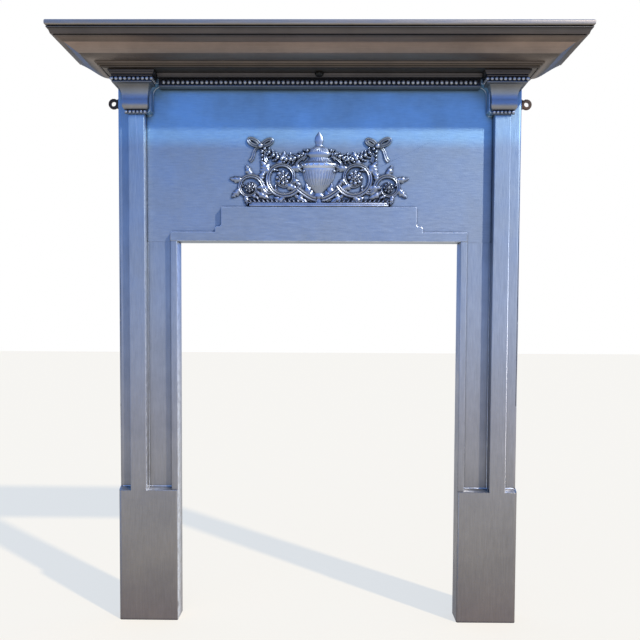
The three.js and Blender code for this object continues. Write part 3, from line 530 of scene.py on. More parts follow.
def add_drilled(bm, part, holes):
    """Cuts upright holes of (x, depth, low, high, radius) in a plain part and adds it to a casting."""
    bmesh.ops.recalc_face_normals(part, faces=part.faces)
    body = mesh_of(part, "drilled_body")
    cutters = bmesh.new()
    for hole in holes:
        pillar(cutters, *hole, HOLE_SIDES)
    tool = mesh_of(cutters, "drill")
    work = bpy.data.objects.new("drilled_body", body)
    drill = bpy.data.objects.new("drill", tool)
    for thing in (work, drill):
        bpy.context.scene.collection.objects.link(thing)
    boolean = work.modifiers.new("holes", "BOOLEAN")
    boolean.operation = "DIFFERENCE"
    boolean.solver = "EXACT"
    boolean.object = drill
    bpy.context.view_layer.update()
    graph = bpy.context.evaluated_depsgraph_get()
    mesh = bpy.data.meshes.new_from_object(work.evaluated_get(graph))
    bm.from_mesh(mesh)
    for thing in (work, drill):
        bpy.data.objects.remove(thing)
    for spent in (mesh, body, tool):
        bpy.data.meshes.remove(spent)


# ---- making pieces


def settle(mesh, name, material, node):
    """Turns a finished mesh into a piece that rides on the surround in place of a node."""
    mesh.materials.append(material)
    piece = bpy.data.objects.new(name, mesh)
    bpy.context.scene.collection.objects.link(piece)
    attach(piece, "root")
    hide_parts(node)
    return piece


def weigh_normals(piece):
    """Shades broad faces flat and lets the narrow rounded ones turn between them."""
    modifier = piece.modifiers.new("even_shading", "WEIGHTED_NORMAL")
    modifier.keep_sharp = True
    modifier.weight = 90


def merged_copy(node):
    """A welded copy of a node, its flat areas cleared of triangle edges."""
    bm = bmesh.new()
    bm.from_mesh(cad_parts[node].data)
    bmesh.ops.remove_doubles(bm, verts=bm.verts, dist=2e-6)
    flat = math.radians(0.4)
    bmesh.ops.dissolve_limit(bm, angle_limit=flat, verts=bm.verts, edges=bm.edges, delimit={"NORMAL"})
    return bm


# Where the frieze panel ends and the jambs meet it, and half the opening's width in millimetres.
JOINT_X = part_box("frieze_panel")[1].x
JOINT_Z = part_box("frieze_panel")[0].z
OPENING_HALF = 306.0
# Wear and painted highlight run from 0 to 1. The middle line of a rounded edge gets them fully; the
# right-hand sides of the steps at the front, where the sun falls, get nearly as much painted light,
# but not the casting's own outer side.
SUNLIT_SIDE_PAINTED_LIGHT = 0.8
PLAIN_SIDE = 434.0
STEP_DEPTH = 15.0


def at_joint(edge):
    """Whether an edge lies where a jamb and the frieze panel meet, behind the pilasters' face."""
    middle = (edge.verts[0].co + edge.verts[1].co) / 2
    beside = abs(abs(middle.x) - JOINT_X) < MM and middle.z > JOINT_Z - MM
    below = abs(middle.z - JOINT_Z) < MM and abs(middle.x) > OPENING_HALF * MM
    return middle.y > FACE_Y + 5 * MM and (beside or below)


def rub_edges(bm, radius, sharper_than=38, longer_than=4.0):
    """Rounds the sharp long edges; the middle line of each rounding is marked for wear and a painted
    highlight.
    """
    wear_and_highlight = bm.verts.layers.float.new("wear_and_highlight")
    sharp = [
        edge
        for edge in bm.edges
        if len(edge.link_faces) == 2
        and edge.calc_face_angle(0) > math.radians(sharper_than)
        and edge.calc_length() > longer_than * MM
        and not at_joint(edge)
    ]
    made = round_off(bm, sharp, radius, 2, clamp=False)
    rounded_faces = set(made["faces"])
    for vert in of_kind(made["verts"], bmesh.types.BMVert):
        if all(face in rounded_faces for face in vert.link_faces):
            vert[wear_and_highlight] = 1.0
    # Painted light: the right-hand sides of the front steps, where the sun falls, are lightened.
    for face in bm.faces:
        if face.normal.x > 0.9 and abs(face.verts[0].co.x) < PLAIN_SIDE * MM:
            for vert in face.verts:
                if vert.co.y < FACE_Y + STEP_DEPTH * MM:
                    vert[wear_and_highlight] = SUNLIT_SIDE_PAINTED_LIGHT
    shade(bm, 50)


def shade(bm, sharper_than=40):
    """Smooth faces, with a crease kept at each sharp edge."""
    for face in bm.faces:
        face.smooth = True
    for edge in bm.edges:
        if edge.calc_face_angle(0) > math.radians(sharper_than):
            edge.smooth = False


def finished_copy(node, name, material, radius):
    """Finishes a plain node in its own shape, its edges rubbed round."""
    bm = merged_copy(node)
    rub_edges(bm, radius)
    piece = settle(mesh_of(bm, name), name, material, node)
    weigh_normals(piece)
    return piece


def made_piece(bm, name, material, node):
    """Turns a new casting's faces outwards, shades it and puts it in its node's place."""
    bmesh.ops.recalc_face_normals(bm, faces=bm.faces)
    shade(bm)
    return settle(mesh_of(bm, name), name, material, node)


# ---- mouldings

# Heights and offsets of the shelf, the cornice and the mouldings under them, in millimetres.
DEPTH = 50.0
GAP = 0.3
SOFFIT = 1179.6
FASCIA_HALF = 452.0
FASCIA_FRONT = -52.0
CORNICE_TOP = 1219.0
SHELF_TOP = 1244.3
TOP_REACH = 62
SHELF_RIBS = (-390, -130, 130, 390)
PLATE = 3.5
RECESS = 20.0
BOLT_RADIUS = 4.3
SCREW_RADIUS = 2.9
BOSS_RADIUS = 10
CORNICE_BOLTS = (-412, -130, 130, 412)
SHELF_BOLTS = ((-260, 34), (0, -22), (260, 34))
REAR_LINE = 34
BED_SCREWS = (-215, 215)
BED_SCREW_Y = 4


def cornice():
    """Three small steps, the deep cove and the land that the shelf sits on, open at the back."""
    outer = cubic((10.9, 1189.3), (29.9, 1190.5), (44.0, 1207.0), (70.4, 1218.0), 26)
    inner = cubic((57.5, 1216.4), (42.5, 1209.6), (27.0, 1193.6), (9.0, 1193.2), 12)
    steps = [
        (0, SOFFIT, 0.3), (0.6, SOFFIT + 2.9, 0.6), (3.6, SOFFIT + 3.2, 0.5),
        (4.8, SOFFIT + 6.0, 0.6), (7.4, SOFFIT + 6.3, 0.5), (8.4, SOFFIT + 9.2, 0.5),
    ]
    plain = [(x, z, 0) for x, z in outer]
    land = [(70.4, CORNICE_TOP, 0.3), (59.4, CORNICE_TOP, 0.3)]
    back = [(x, z, 0) for x, z in inner] + [(-PLATE, 1192.6, 0), (-PLATE, SOFFIT, 0)]
    bm = bmesh.new()
    section = rounded(steps + plain + land + back, 0.3)
    mitred(bm, section, 0, FASCIA_HALF, FASCIA_FRONT, (DEPTH, DEPTH))
    plate = bmesh.new()
    low, high = place(-FASCIA_HALF + 1, FASCIA_FRONT + 1, SOFFIT), place(FASCIA_HALF - 1, DEPTH, SOFFIT + 4)
    slab(plate, low, high, 0.4 * MM, 1)
    bolts = [(x, REAR_LINE) for x in CORNICE_BOLTS] + list(SHELF_BOLTS)
    holes = [(*where, SOFFIT - 2, SOFFIT + 10, BOLT_RADIUS) for where in bolts]
    holes += [(x, BED_SCREW_Y, SOFFIT - 2, SOFFIT + 10, SCREW_RADIUS) for x in BED_SCREWS]
    add_drilled(bm, plate, holes)
    return bm


def shelf():
    """Moulded lip, flat top, the ribs below it and the bosses that its bolts screw into."""
    low = CORNICE_TOP + GAP
    lip = [
        (74.6, low, 0.3), (77.2, 1226.2, 0.4), (78.2, 1226.9, 0.3), (78.6, 1228.2, 0.3),
        (80.4, 1228.9, 0.6), (81.2, 1230.2, 0.8), (80.4, 1231.5, 0.6), (78.9, 1232.0, 0.3),
        (78.9, 1233.0, 0.3), (81.4, 1233.2, 0.5), (83.2, 1234.6, 1.2), (83.5, 1237.5, 1.0),
        (83.5, 1241.0, 1.4), (82.6, 1243.3, 1.0), (80.4, SHELF_TOP, 1.2), (60, SHELF_TOP, 0),
        (60, SHELF_TOP - PLATE, 0), (74, SHELF_TOP - PLATE, 0.4), (72.5, low + 4, 0.4),
        (64, low + 4, 0.3), (64, low, 0.3),
    ]
    bm = bmesh.new()
    mitred(bm, rounded(lip, 0.3), 0, FASCIA_HALF, FASCIA_FRONT, (DEPTH, DEPTH))
    low_corner = place(-FASCIA_HALF - TOP_REACH, FASCIA_FRONT - TOP_REACH, SHELF_TOP - PLATE)
    slab(bm, low_corner, place(FASCIA_HALF + TOP_REACH, DEPTH, SHELF_TOP), 0.01 * MM, 1)
    for x in SHELF_RIBS:
        foot = place(x - 2, FASCIA_FRONT - TOP_REACH - 2, SHELF_TOP - 16)
        slab(bm, foot, place(x + 2, DEPTH - 6, SHELF_TOP - 2), 0.6 * MM)
    boss_foot = SOFFIT + 4 + GAP
    boss_top = SHELF_TOP - 2
    for x, depth in SHELF_BOLTS:
        pillar(bm, x, depth, boss_foot, boss_top, BOSS_RADIUS, BOSS_SIDES)
    return bm


BED_HALF = 342.2
BED_BOTTOM = 1156.0
BED_FACE = 1.0
BED_BEADS = 66
BED_PITCH = 10.2
NOTCH_RADIUS = 9.8


def bed_moulding(sides):
    """Slanted fillet over a long row of oval beads, with the notch of the middle shelf bolt."""
    top = SOFFIT - GAP
    # Counted inwards from the panel: across is the depth, out is the height.
    section = [
        (RECESS - GAP, BED_BOTTOM, 0.3), (BED_FACE - 2.5, BED_BOTTOM, 1.0),
        (BED_FACE - 2.5, BED_BOTTOM + 3.8, 0.7), (BED_FACE, BED_BOTTOM + 4.2, 0.3),
        (BED_FACE, top - 6.5, 0.3), (-14.2, top - 6.3, 0.4), (-15.6, top - 4.4, 0.4),
        (-17.0, top - 4.0, 0.4), (-20.0, top - 0.4, 0.4), (-20.0, top, 0.2), (RECESS - GAP, top, 0.3),
        (RECESS - GAP, top - 5, 0.3), (BED_FACE + 6, top - 5, 0.3), (BED_FACE + 6, BED_BOTTOM + 5, 0.3),
        (RECESS - GAP, BED_BOTTOM + 5, 0.3),
    ]
    bm = bmesh.new()
    bm.verts.layers.float.new("wear_and_highlight")
    bar = bmesh.new()
    deep, up, along = Vector((0, MM, 0)), Vector((0, 0, MM)), Vector((MM, 0, 0))
    frames = [frame_of(place(x, 0, 0), deep, up, along) for x in (-BED_HALF, BED_HALF)]
    sweep(bar, rounded(section, 0.3), frames)
    for x in spread(BED_BEADS, BED_PITCH):
        bead(bm, place(x, BED_FACE - 0.4, BED_BOTTOM + 10.2), 4.6 * MM, 5.6 * MM, sides)
    notch_x, notch_y = SHELF_BOLTS[1]
    holes = [(notch_x, notch_y, top - 8, top + 2, NOTCH_RADIUS)]
    holes += [(x, BED_SCREW_Y, top - 4, top + 2, SCREW_RADIUS) for x in BED_SCREWS]
    add_drilled(bm, bar, holes)
    return bm


# ---- corbels

CORBEL_X = 391.0
CORBEL_LOW = 1107.0
CORBEL_HIGH = 1155.5
# Half width and reach of the bracket against its height, both eased between these points.
CORBEL_FRONT = (
    (24, 0), (26.8, 0.08), (27.8, 0.2), (27.2, 0.36), (27.4, 0.54), (29, 0.72), (32, 0.88), (36, 1),
)
CORBEL_SIDE = (
    (5, 0), (9, 0.06), (12, 0.18), (11.6, 0.34), (10.4, 0.5), (11.6, 0.68), (16.5, 0.84), (27, 1),
)
CORBEL_STEPS = 28
CAP_CORE = 41.5
CAP_FRONT = -35.0
# The bead rows: on the cap's front and both sides, and on the necking under the bracket.
CAP_BEADS = 10
CAP_PITCH = 9.2
CAP_SIDE_BEADS = (-25.6, -16.3, -7.0)
CAP_BEAD_Z = 1162.9
NECK_HALF = 24
NECK_FACE = -3.4
NECK_LOW = 1098.5
NECK_HIGH = 1107.4
NECK_BEADS = 6
NECK_PITCH = 8
NECK_BEAD_Z = 1103.0


def corbel(side, sides):
    """A hollowed bracket under a stepped cap, with a bead row above and one at its neck."""
    centre = side * CORBEL_X
    bm = bmesh.new()
    bm.verts.layers.float.new("wear_and_highlight")
    # The plan of the bracket: as wide as 2 and as deep as 1 before each frame stretches it.
    plan = rounded([(-1, 0, 0), (-1, 1, 0.09), (1, 1, 0.09), (1, 0, 0)], 0, 4)
    frames = []
    for part in parts(CORBEL_STEPS):
        half = between(CORBEL_FRONT, part)
        reach = between(CORBEL_SIDE, part)
        z = CORBEL_LOW + (CORBEL_HIGH - CORBEL_LOW) * part
        across, out = Vector((half * MM, 0, 0)), Vector((0, -(reach - GAP) * MM, 0))
        frames.append(frame_of(place(centre, -GAP, z), across, out, Vector((0, 0, MM))))
    sweep(bm, plan, frames)

    top = SOFFIT - GAP
    cap = [
        (-12, 1155.0, 0.2), (0.2, 1155.0, 0.5), (0.8, 1157.6, 0.6), (-1.2, 1158.4, 0.2),
        (-1.2, 1167.2, 0.2), (1.0, 1167.5, 0.4), (1.9, 1169.4, 0.5), (0.6, 1170.0, 0.2),
        (0.6, 1171.0, 0.2), (2.8, 1171.4, 0.4), (4.4, 1174.0, 0.4), (4.4, 1174.8, 0.2),
        (5.6, 1175.2, 0.4), (7.0, top, 0.3), (-12, top, 0.2),
    ]
    wall_end = RECESS - GAP
    backs = (-GAP, wall_end) if side > 0 else (wall_end, -GAP)
    mitred(bm, rounded(cap, 0.3), centre, CAP_CORE, CAP_FRONT, backs)
    core = CAP_CORE - 2
    core_foot = place(centre - core, CAP_FRONT + 2, 1155.0)
    slab(bm, core_foot, place(centre + core, -GAP, top), 0.3 * MM, 1)
    row = [(centre + x, CAP_FRONT + 0.4) for x in spread(CAP_BEADS, CAP_PITCH)]
    row += [(centre + end * (CAP_CORE - 0.4), depth) for end in (-1, 1) for depth in CAP_SIDE_BEADS]
    for x, depth in row:
        bead(bm, place(x, depth, CAP_BEAD_Z), 4.2 * MM, 4.4 * MM, sides)
    neck_foot = place(centre - NECK_HALF, NECK_FACE, NECK_LOW)
    slab(bm, neck_foot, place(centre + NECK_HALF, -GAP, NECK_HIGH), 0.8 * MM)
    for x in spread(NECK_BEADS, NECK_PITCH):
        bead(bm, place(centre + x, NECK_FACE, NECK_BEAD_Z), 3.7 * MM, 3.9 * MM, sides)
    return bm


# ---- relief

# The relief is laid out flat: x to the right, y up the panel, z out of it, in millimetres.
RELIEF_DEPTH = 14.0
DULL_BELOW = 5.0
RELIEF_GROUND = 905.8
RELIEF_TURN = frame_of(
    place(0, RECESS - GAP, 0), Vector((MM, 0, 0)), Vector((0, 0, MM)), Vector((0, -MM, 0))
)
# Sections across a stem with a channel along it and across a ribbon with raised edges.
STEM = (
    (-1, 0), (-1, 0.35), (-0.8, 0.8), (-0.42, 1.0), (-0.16, 0.92), (0, 0.7),
    (0.16, 0.92), (0.42, 1.0), (0.8, 0.8), (1, 0.35), (1, 0),
)
RIBBON = ((-1, 0), (-1, 0.7), (-0.7, 0.85), (0, 0.45), (0.7, 0.85), (1, 0.7), (1, 0))


def spot(x, y, heading=0.0, out=0.0):
    """A place on the relief, turned to a heading in degrees."""
    return Matrix.Translation((x, y, out)) @ Matrix.Rotation(math.radians(heading), 4, "Z")


def close_down(bm, verts):
    """Draws the open rim of a raised form down to the back plane and closes it there."""
    rim = [edge for edge in bm.edges if edge.is_boundary]
    pulled = bmesh.ops.extrude_edge_only(bm, edges=rim)
    wall = verts_of(pulled)
    for vert in wall:
        vert.co.z = 0.0
    bmesh.ops.contextual_create(bm, geom=rim_of(pulled))
    return list(verts) + wall


def leaf(bm, where, length, width, lobes=3, lift=7.0, bend=0.18):
    """An acanthus leaf: lobed sides leaning forwards, a channelled rib, the tip curled up."""
    made = bmesh.ops.create_grid(bm, x_segments=lobes * 5 + 2, y_segments=8, size=0.5)
    for vert in made["verts"]:
        part = vert.co.x + 0.5
        across = vert.co.y * 2
        lobe = abs(math.sin(math.pi * lobes * part)) ** 0.55
        spread = math.sin(math.pi * (0.14 + 0.83 * part**0.8))
        half = width * spread * (0.58 + 0.42 * lobe)
        forward = 0.13 * length * abs(across) * lobe * spread
        rib = 1 - abs(across) ** 1.4
        channel = 0.16 * max(0.0, 1 - abs(across) / 0.3)
        crown = 0.5 + 0.5 * math.sin(math.pi * part**0.7)
        height = lift * crown * (0.3 + 0.7 * rib - channel) * (0.8 + 0.2 * lobe)
        curl = 0.22 * lift * part**3
        vert.co = (
            length * part + forward,
            half * across + bend * length * part**2,
            height + curl,
        )
    bmesh.ops.transform(bm, matrix=where, verts=close_down(bm, made["verts"]))


def stem(bm, line, root, tip, section=STEM, thick=1.1, out=0.0):
    """A ribbed stem along a plane line, thinning from its root to its tip."""
    frames = []
    count = len(line)
    for i, point in enumerate(line):
        before, after = line[max(i - 1, 0)], line[min(i + 1, count - 1)]
        along = Vector((after[0] - before[0], after[1] - before[1], 0)).normalized()
        radius = root + (tip - root) * i / (count - 1)
        across = Vector((-along.y, along.x, 0)) * radius
        rise = Vector((0, 0, radius * thick))
        frames.append(frame_of(Vector((*point[:2], out)), across, rise, along))
    sweep(bm, section, frames)


WELD = 1e-4


def spun(bm, geom, axis, angle, steps):
    """Turns a line about an axis through the origin; a full turn closes on itself."""
    full = angle == math.tau
    bmesh.ops.spin(
        bm, geom=geom, cent=(0, 0, 0), axis=axis, angle=angle, steps=steps, use_merge=full
    )


def flower(bm, x, y, radius, petals=8, height=7.5, turned=0.0):
    """One ring of cupped petals, spun from a radius and drawn in between the petals."""
    cup = ((0, 0.55), (0.25, 0.6), (0.5, 0.82), (0.72, 1.0), (0.9, 0.92), (1.0, 0.62))
    before = set(bm.verts)
    rod = [bm.verts.new((reach * radius, 0, rise * height)) for reach, rise in cup]
    line = [bm.edges.new(pair) for pair in zip(rod, rod[1:])]
    spun(bm, rod + line, (0, 0, 1), math.tau, petals * 6)
    ring = [vert for vert in bm.verts if vert not in before]
    bmesh.ops.remove_doubles(bm, verts=ring, dist=WELD)
    ring = [vert for vert in bm.verts if vert not in before]
    for vert in ring:
        part = math.hypot(vert.co.x, vert.co.y) / radius
        petal = abs(math.cos(petals * math.atan2(vert.co.y, vert.co.x) / 2)) ** 0.6
        vert.co.xy *= 1 - 0.3 * (1 - petal) * part
        vert.co.z *= 1 - 0.45 * (1 - petal) * part
    bmesh.ops.transform(bm, matrix=spot(x, y, turned), verts=close_down(bm, ring))


def berry(bm, x, y, radius, out=2.0):
    """A small round fruit, half sunk in the leaves behind it."""
    scale = Matrix.Diagonal((radius, radius, radius, 1.0))
    matrix = Matrix.Translation((x, y, out)) @ scale
    bmesh.ops.create_icosphere(bm, subdivisions=2, radius=1.0, matrix=matrix)


def rosette(bm, x, y, radius):
    """Two rings of petals, the inner one turned by half a petal, round a beaded button."""
    flower(bm, x, y, radius, petals=8, height=8.5)
    flower(bm, x, y, radius * 0.62, petals=6, height=11.0, turned=30)
    berry(bm, x, y, radius * 0.2, 10.4)
    for i in range(6):
        angle = math.radians(60 * i)
        reach = radius * 0.3
        berry(bm, x + reach * math.cos(angle), y + reach * math.sin(angle), radius * 0.09, 10.2)


URN = (
    (0, 0), (23, 0), (23, 5), (15, 9), (7.5, 17), (11.5, 21), (11.5, 25), (7.5, 29), (14, 36),
    (24, 46), (32, 60), (36, 76), (36.5, 83), (41.5, 86), (41.5, 92), (30, 96), (20, 105),
    (26.5, 111), (26.5, 116), (17, 125), (6.5, 132), (9.5, 142), (8, 151), (0, 162),
)
URN_BOWL = (36, 78)
URN_NECK = (96, 105)
URN_LID = (116, 130)
GADROONS = 15


def urn(bm):
    """A covered urn, modelled on its own: gadroons on bowl and lid, flutes on the neck."""
    rod = [bm.verts.new((r, RELIEF_GROUND + h, 0)) for r, h in URN]
    for pair in zip(rod, rod[1:]):
        bm.edges.new(pair)
    round_off(bm, rod[1:-1], 2.4, 4, affect="VERTICES")
    bmesh.ops.subdivide_edges(bm, edges=bm.edges[:], cuts=2)
    spun(bm, bm.verts[:] + bm.edges[:], (0, -1, 0), math.pi, GADROONS * 4)
    bmesh.ops.remove_doubles(bm, verts=bm.verts, dist=WELD)
    for vert in bm.verts:
        up = vert.co.y - RELIEF_GROUND
        angle = math.atan2(vert.co.z, vert.co.x)
        lobe = abs(math.sin(GADROONS * angle)) ** 0.7
        for low, high, deep in ((*URN_BOWL, 0.1), (*URN_NECK, 0.07), (*URN_LID, 0.1)):
            if low < up < high:
                ease = math.sin(math.pi * (up - low) / (high - low)) ** 0.4
                press = 1 - deep * (1 - lobe) * ease
                vert.co.x *= press
                vert.co.z *= press
        vert.co.z *= RELIEF_DEPTH / 41.5
    back = [edge for edge in bm.edges if edge.is_boundary]
    bmesh.ops.contextual_create(bm, geom=back)
    for side in (-1, 1):
        turn = [
            (side * (27 + 19 * math.sin(t * 2.9) ** 0.8 + 4 * t), RELIEF_GROUND + 108 - 31 * t)
            for t in parts(20)
        ]
        stem(bm, turn, 3.4, 2.6, out=2.0)
        berry(bm, side * 32.5, RELIEF_GROUND + 76, 3.8, 5.0)
    for i in range(11):
        angle = math.pi * (i + 0.5) / 11
        x = 42 * math.cos(angle)
        z = 42 * math.sin(angle) * RELIEF_DEPTH / 41.5
        berry(bm, x * 0.98, RELIEF_GROUND + 89, 2.3, z * 0.96)


# Scrolls: centre, outer radius, where they start and how far they turn, in millimetres and degrees.
SCROLLS = (
    {"x": 78, "y": 968, "radius": 41, "start": 205, "turn": 560, "shrink": 0.74, "stem": (6.5, 3.0)},
    {"x": 150, "y": 947, "radius": 29, "start": 175, "turn": -480, "shrink": 0.72, "stem": (5.4, 2.4)},
)
ROSETTES = ((78, 968, 16.5), (150, 947, 11.5))
# Leaves on the scrolls: scroll, place along it, lean, length, half width and lobes.
SCROLL_LEAVES = (
    (0, 0.02, 62, 34, 9, 3), (0, 0.10, -38, 30, 9, 3), (0, 0.20, -40, 32, 9, 3),
    (0, 0.30, -40, 33, 10, 3), (0, 0.40, -42, 33, 10, 3), (0, 0.50, -42, 30, 9, 3),
    (0, 0.60, -44, 24, 8, 2), (0, 0.16, 48, 18, 5, 2), (0, 0.34, 46, 17, 5, 2),
    (1, 0.05, 42, 26, 8, 3), (1, 0.15, 44, 27, 8, 3), (1, 0.26, 42, 28, 8, 3),
    (1, 0.37, 44, 27, 8, 3), (1, 0.48, 40, 24, 7, 3), (1, 0.58, 40, 18, 6, 2),
    (1, 0.3, -46, 13, 4, 2),
)
# Leaves that fill the ground between urn, scrolls and strip: x, y, heading, length, half width.
FILLING_LEAVES = (
    (14, 915, 62, 44, 11, 4), (24, 914, 24, 36, 9, 3), (46, 922, 128, 26, 7, 3),
    (98, 926, 196, 30, 8, 3), (112, 930, 62, 30, 9, 3), (108, 924, 20, 34, 8, 3),
    (118, 972, 78, 26, 8, 3), (34, 1004, 100, 20, 6, 2), (60, 1006, 74, 17, 5, 2),
)
GARLAND = {"start": (21, 1030), "end": (122, 1034), "sag": 25, "fruits": 11}
BOW = (126, 1036)


def scroll_point(scroll, part):
    angle = math.radians(scroll["start"] + scroll["turn"] * part)
    reach = scroll["radius"] * (1 - scroll["shrink"] * part)
    return (scroll["x"] + reach * math.cos(angle), scroll["y"] + reach * math.sin(angle))


def heading_of(first, second):
    return math.degrees(math.atan2(second[1] - first[1], second[0] - first[0]))


def scrolls(bm):
    for scroll in SCROLLS:
        stem(bm, [scroll_point(scroll, part) for part in parts(72)], *scroll["stem"])
    near, far = (scroll_point(scroll, 0.02) for scroll in SCROLLS)
    for line, radii in (
        (((6, 922), (16, 923), (28, 930), near), (7, 6.4)),
        (((100, 940), (107, 934), (114, 932), far), (4.6, 5.4)),
    ):
        stem(bm, cubic(*line, 14), *radii)
    for x, y, radius in ROSETTES:
        rosette(bm, x, y, radius)
    for index, part, lean, length, width, lobes in SCROLL_LEAVES:
        here = scroll_point(SCROLLS[index], part)
        heading = heading_of(here, scroll_point(SCROLLS[index], part + 0.01)) + lean
        leaf(bm, spot(*here, heading), length, width, lobes, bend=0.18 if lean > 0 else -0.18)
    for x, y, heading, length, width, lobes in FILLING_LEAVES:
        leaf(bm, spot(x, y, heading), length, width, lobes, lift=6.0)


def garland_point(part):
    (x0, y0), (x1, y1) = GARLAND["start"], GARLAND["end"]
    drop = GARLAND["sag"] * 4 * part * (1 - part)
    return (x0 + (x1 - x0) * part, y0 + (y1 - y0) * part - drop)


def garland(bm):
    """Fruits and pairs of leaves strung on a sagging cord."""
    stem(bm, [garland_point(part) for part in parts(24)], 2.2, 2.2, thick=1.4)
    count = GARLAND["fruits"]
    for i in range(count):
        part = (i + 0.5) / count
        here = garland_point(part)
        heading = heading_of(here, garland_point(part + 0.02))
        plump = 3.6 + 2.2 * math.sin(math.pi * part)
        for lean in (-52, 52):
            leaf(bm, spot(*here, heading + lean), 2.7 * plump, 0.85 * plump, 2, lift=5.0, bend=0.0)
        berry(bm, *here, plump * 0.86, 5.4)
        if i % 2:
            berry(bm, here[0] + plump * 0.7, here[1] - plump * 0.9, plump * 0.5, 5.2)


def bow(bm):
    """Two loops, a knot and two waving tails, with a drop of husks between them."""
    x, y = BOW
    for heading, reach, open_by in ((28, 30, 30), (152, 27, 30)):
        loop = []
        for part in parts(24):
            way = math.radians(heading + open_by * (2 * part - 1))
            far = reach * math.sin(math.pi * part)
            loop.append((x + far * math.cos(way), y + far * math.sin(way)))
        stem(bm, loop, 3.4, 3.4, RIBBON, thick=1.3, out=1.5)
    for heading, reach, wave in ((-48, 40, 4.0), (-118, 36, -4.0)):
        way = Vector((math.cos(math.radians(heading)), math.sin(math.radians(heading))))
        across = Vector((-way.y, way.x))
        tail = [
            tuple(Vector((x, y)) + way * reach * t + across * wave * math.sin(5.2 * t))
            for t in parts(20)
        ]
        stem(bm, tail, 2.4, 4.0, RIBBON, thick=1.1)
    berry(bm, x, y, 6.0, 5.0)
    for i in range(4):
        berry(bm, x - 3, y - 12 - 8.5 * i, 4.2 - 0.6 * i, 3.0)


def ground_strip(bm):
    """The stepped strip that the urn and the leaves stand on."""
    for half, depth, low, high in ((150, 11, 0, 4), (146, 8.5, 4, 8)):
        foot = Vector((-half, RELIEF_GROUND + low, 0))
        slab(bm, foot, Vector((half, RELIEF_GROUND + high, depth)), 1.0, 2)


def take_in(bm, part):
    """Adds a part that was modelled on its own to a casting."""
    mesh = mesh_of(part, "part")
    bm.from_mesh(mesh)
    bpy.data.meshes.remove(mesh)


def laurel(bm):
    """A low run of laurel leaves along the strip."""
    for i in range(13):
        x = 30 + 9.4 * i
        for heading in (14, 46):
            leaf(bm, spot(x, RELIEF_GROUND + 6, heading), 15, 3.6, 1, lift=8.5, bend=0.1)


def relief():
    """The whole ornament: one half modelled, the other mirrored, then the urn and the strip."""
    bm = bmesh.new()
    scrolls(bm)
    garland(bm)
    bow(bm)
    laurel(bm)
    copied = bmesh.ops.duplicate(bm, geom=bm.verts[:] + bm.edges[:] + bm.faces[:])
    bmesh.ops.scale(bm, vec=(-1, 1, 1), verts=verts_of(copied))
    covered = bmesh.new()
    urn(covered)
    take_in(bm, covered)
    ground_strip(bm)
    # The high points are rubbed bright and given a painted highlight.
    wear_and_highlight = bm.verts.layers.float.new("wear_and_highlight")
    for vert in bm.verts:
        part = (vert.co.z - DULL_BELOW) / (RELIEF_DEPTH - DULL_BELOW)
        vert[wear_and_highlight] = max(0.0, min(1.0, part)) ** 2
    bmesh.ops.transform(bm, matrix=RELIEF_TURN, verts=bm.verts)
    return bm


# ---- operators


class FIREPLACE_OT_plain_castings(bpy.types.Operator):
    """Finish the two jambs and the frieze panel"""

    bl_idname = "fireplace.plain_castings"
    bl_label = "Jambs and Frieze Panel"

    def execute(self, context):
        radius = context.scene.fireplace_castings.edge_radius
        upright = polished("blackleaded_cast_iron")
        across = polished("blackleaded_frieze_iron")
        for node, iron in (("left_jamb", upright), ("right_jamb", upright), ("frieze_panel", across)):
            finished_copy(node, f"{node}_casting", iron, radius)
        return {"FINISHED"}


class FIREPLACE_OT_trim(bpy.types.Operator):
    """Model the corbels and the bed moulding with their bead rows"""

    bl_idname = "fireplace.trim"
    bl_label = "Corbels and Bed Moulding"

    def execute(self, context):
        sides = context.scene.fireplace_castings.bead_sides
        iron = polished("blackleaded_moulding_iron")
        for name, side in (("left", -1), ("right", 1)):
            bm = corbel(side, sides)
            made_piece(bm, f"{name}_corbel_casting", iron, f"{name}_corbel")
        made_piece(bed_moulding(sides), "bed_moulding_casting", iron, "bed_moulding")
        return {"FINISHED"}


class FIREPLACE_OT_shelf(bpy.types.Operator):
    """Model the cornice with its deep cove and the shelf with its moulded lip"""

    bl_idname = "fireplace.shelf"
    bl_label = "Cornice and Shelf"

    def execute(self, context):
        iron = polished("brushed_shelf_cast_iron")
        for node, build in (("shelf_cornice", cornice), ("mantel_shelf", shelf)):
            made_piece(build(), f"{node}_casting", iron, node)
        return {"FINISHED"}


class FIREPLACE_OT_relief(bpy.types.Operator):
    """Model the relief of urn, scrolls, garlands and bows"""

    bl_idname = "fireplace.relief"
    bl_label = "Relief"

    def execute(self, context):
        iron = polished("rubbed_relief_cast_iron")
        made_piece(relief(), "frieze_relief", iron, "frieze_ornament")
        return {"FINISHED"}


class FIREPLACE_OT_fasteners(bpy.types.Operator):
    """Finish the bolts, nuts and screws"""

    bl_idname = "fireplace.fasteners"
    bl_label = "Bolts, Nuts and Screws"

    def execute(self, context):
        iron = polished("black_iron_fastener")
        for node in sorted(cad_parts):
            if any(kind in node for kind in ("_bolt", "_nut", "_screw")):
                finished_copy(node, f"{node}_finish", iron, 0.3 * MM)
        return {"FINISHED"}


class FIREPLACE_OT_stage(bpy.types.Operator):
    """Lay the pale floor and set the camera and the lights"""

    bl_idname = "fireplace.stage"
    bl_label = "Floor, Camera and Light"

    def execute(self, context):
        settings = context.scene.fireplace_stage
        lay_floor(context)
        set_camera(context, settings)
        set_lights(context, settings)
        return {"FINISHED"}


# ---- stage


# The floor is lit evenly from within, so that it stays pale and takes only a faint shadow.
FLOOR_GLOW = 0.66
FLOOR_COLOUR = "#817359"
FLOOR_REACH = 14.0


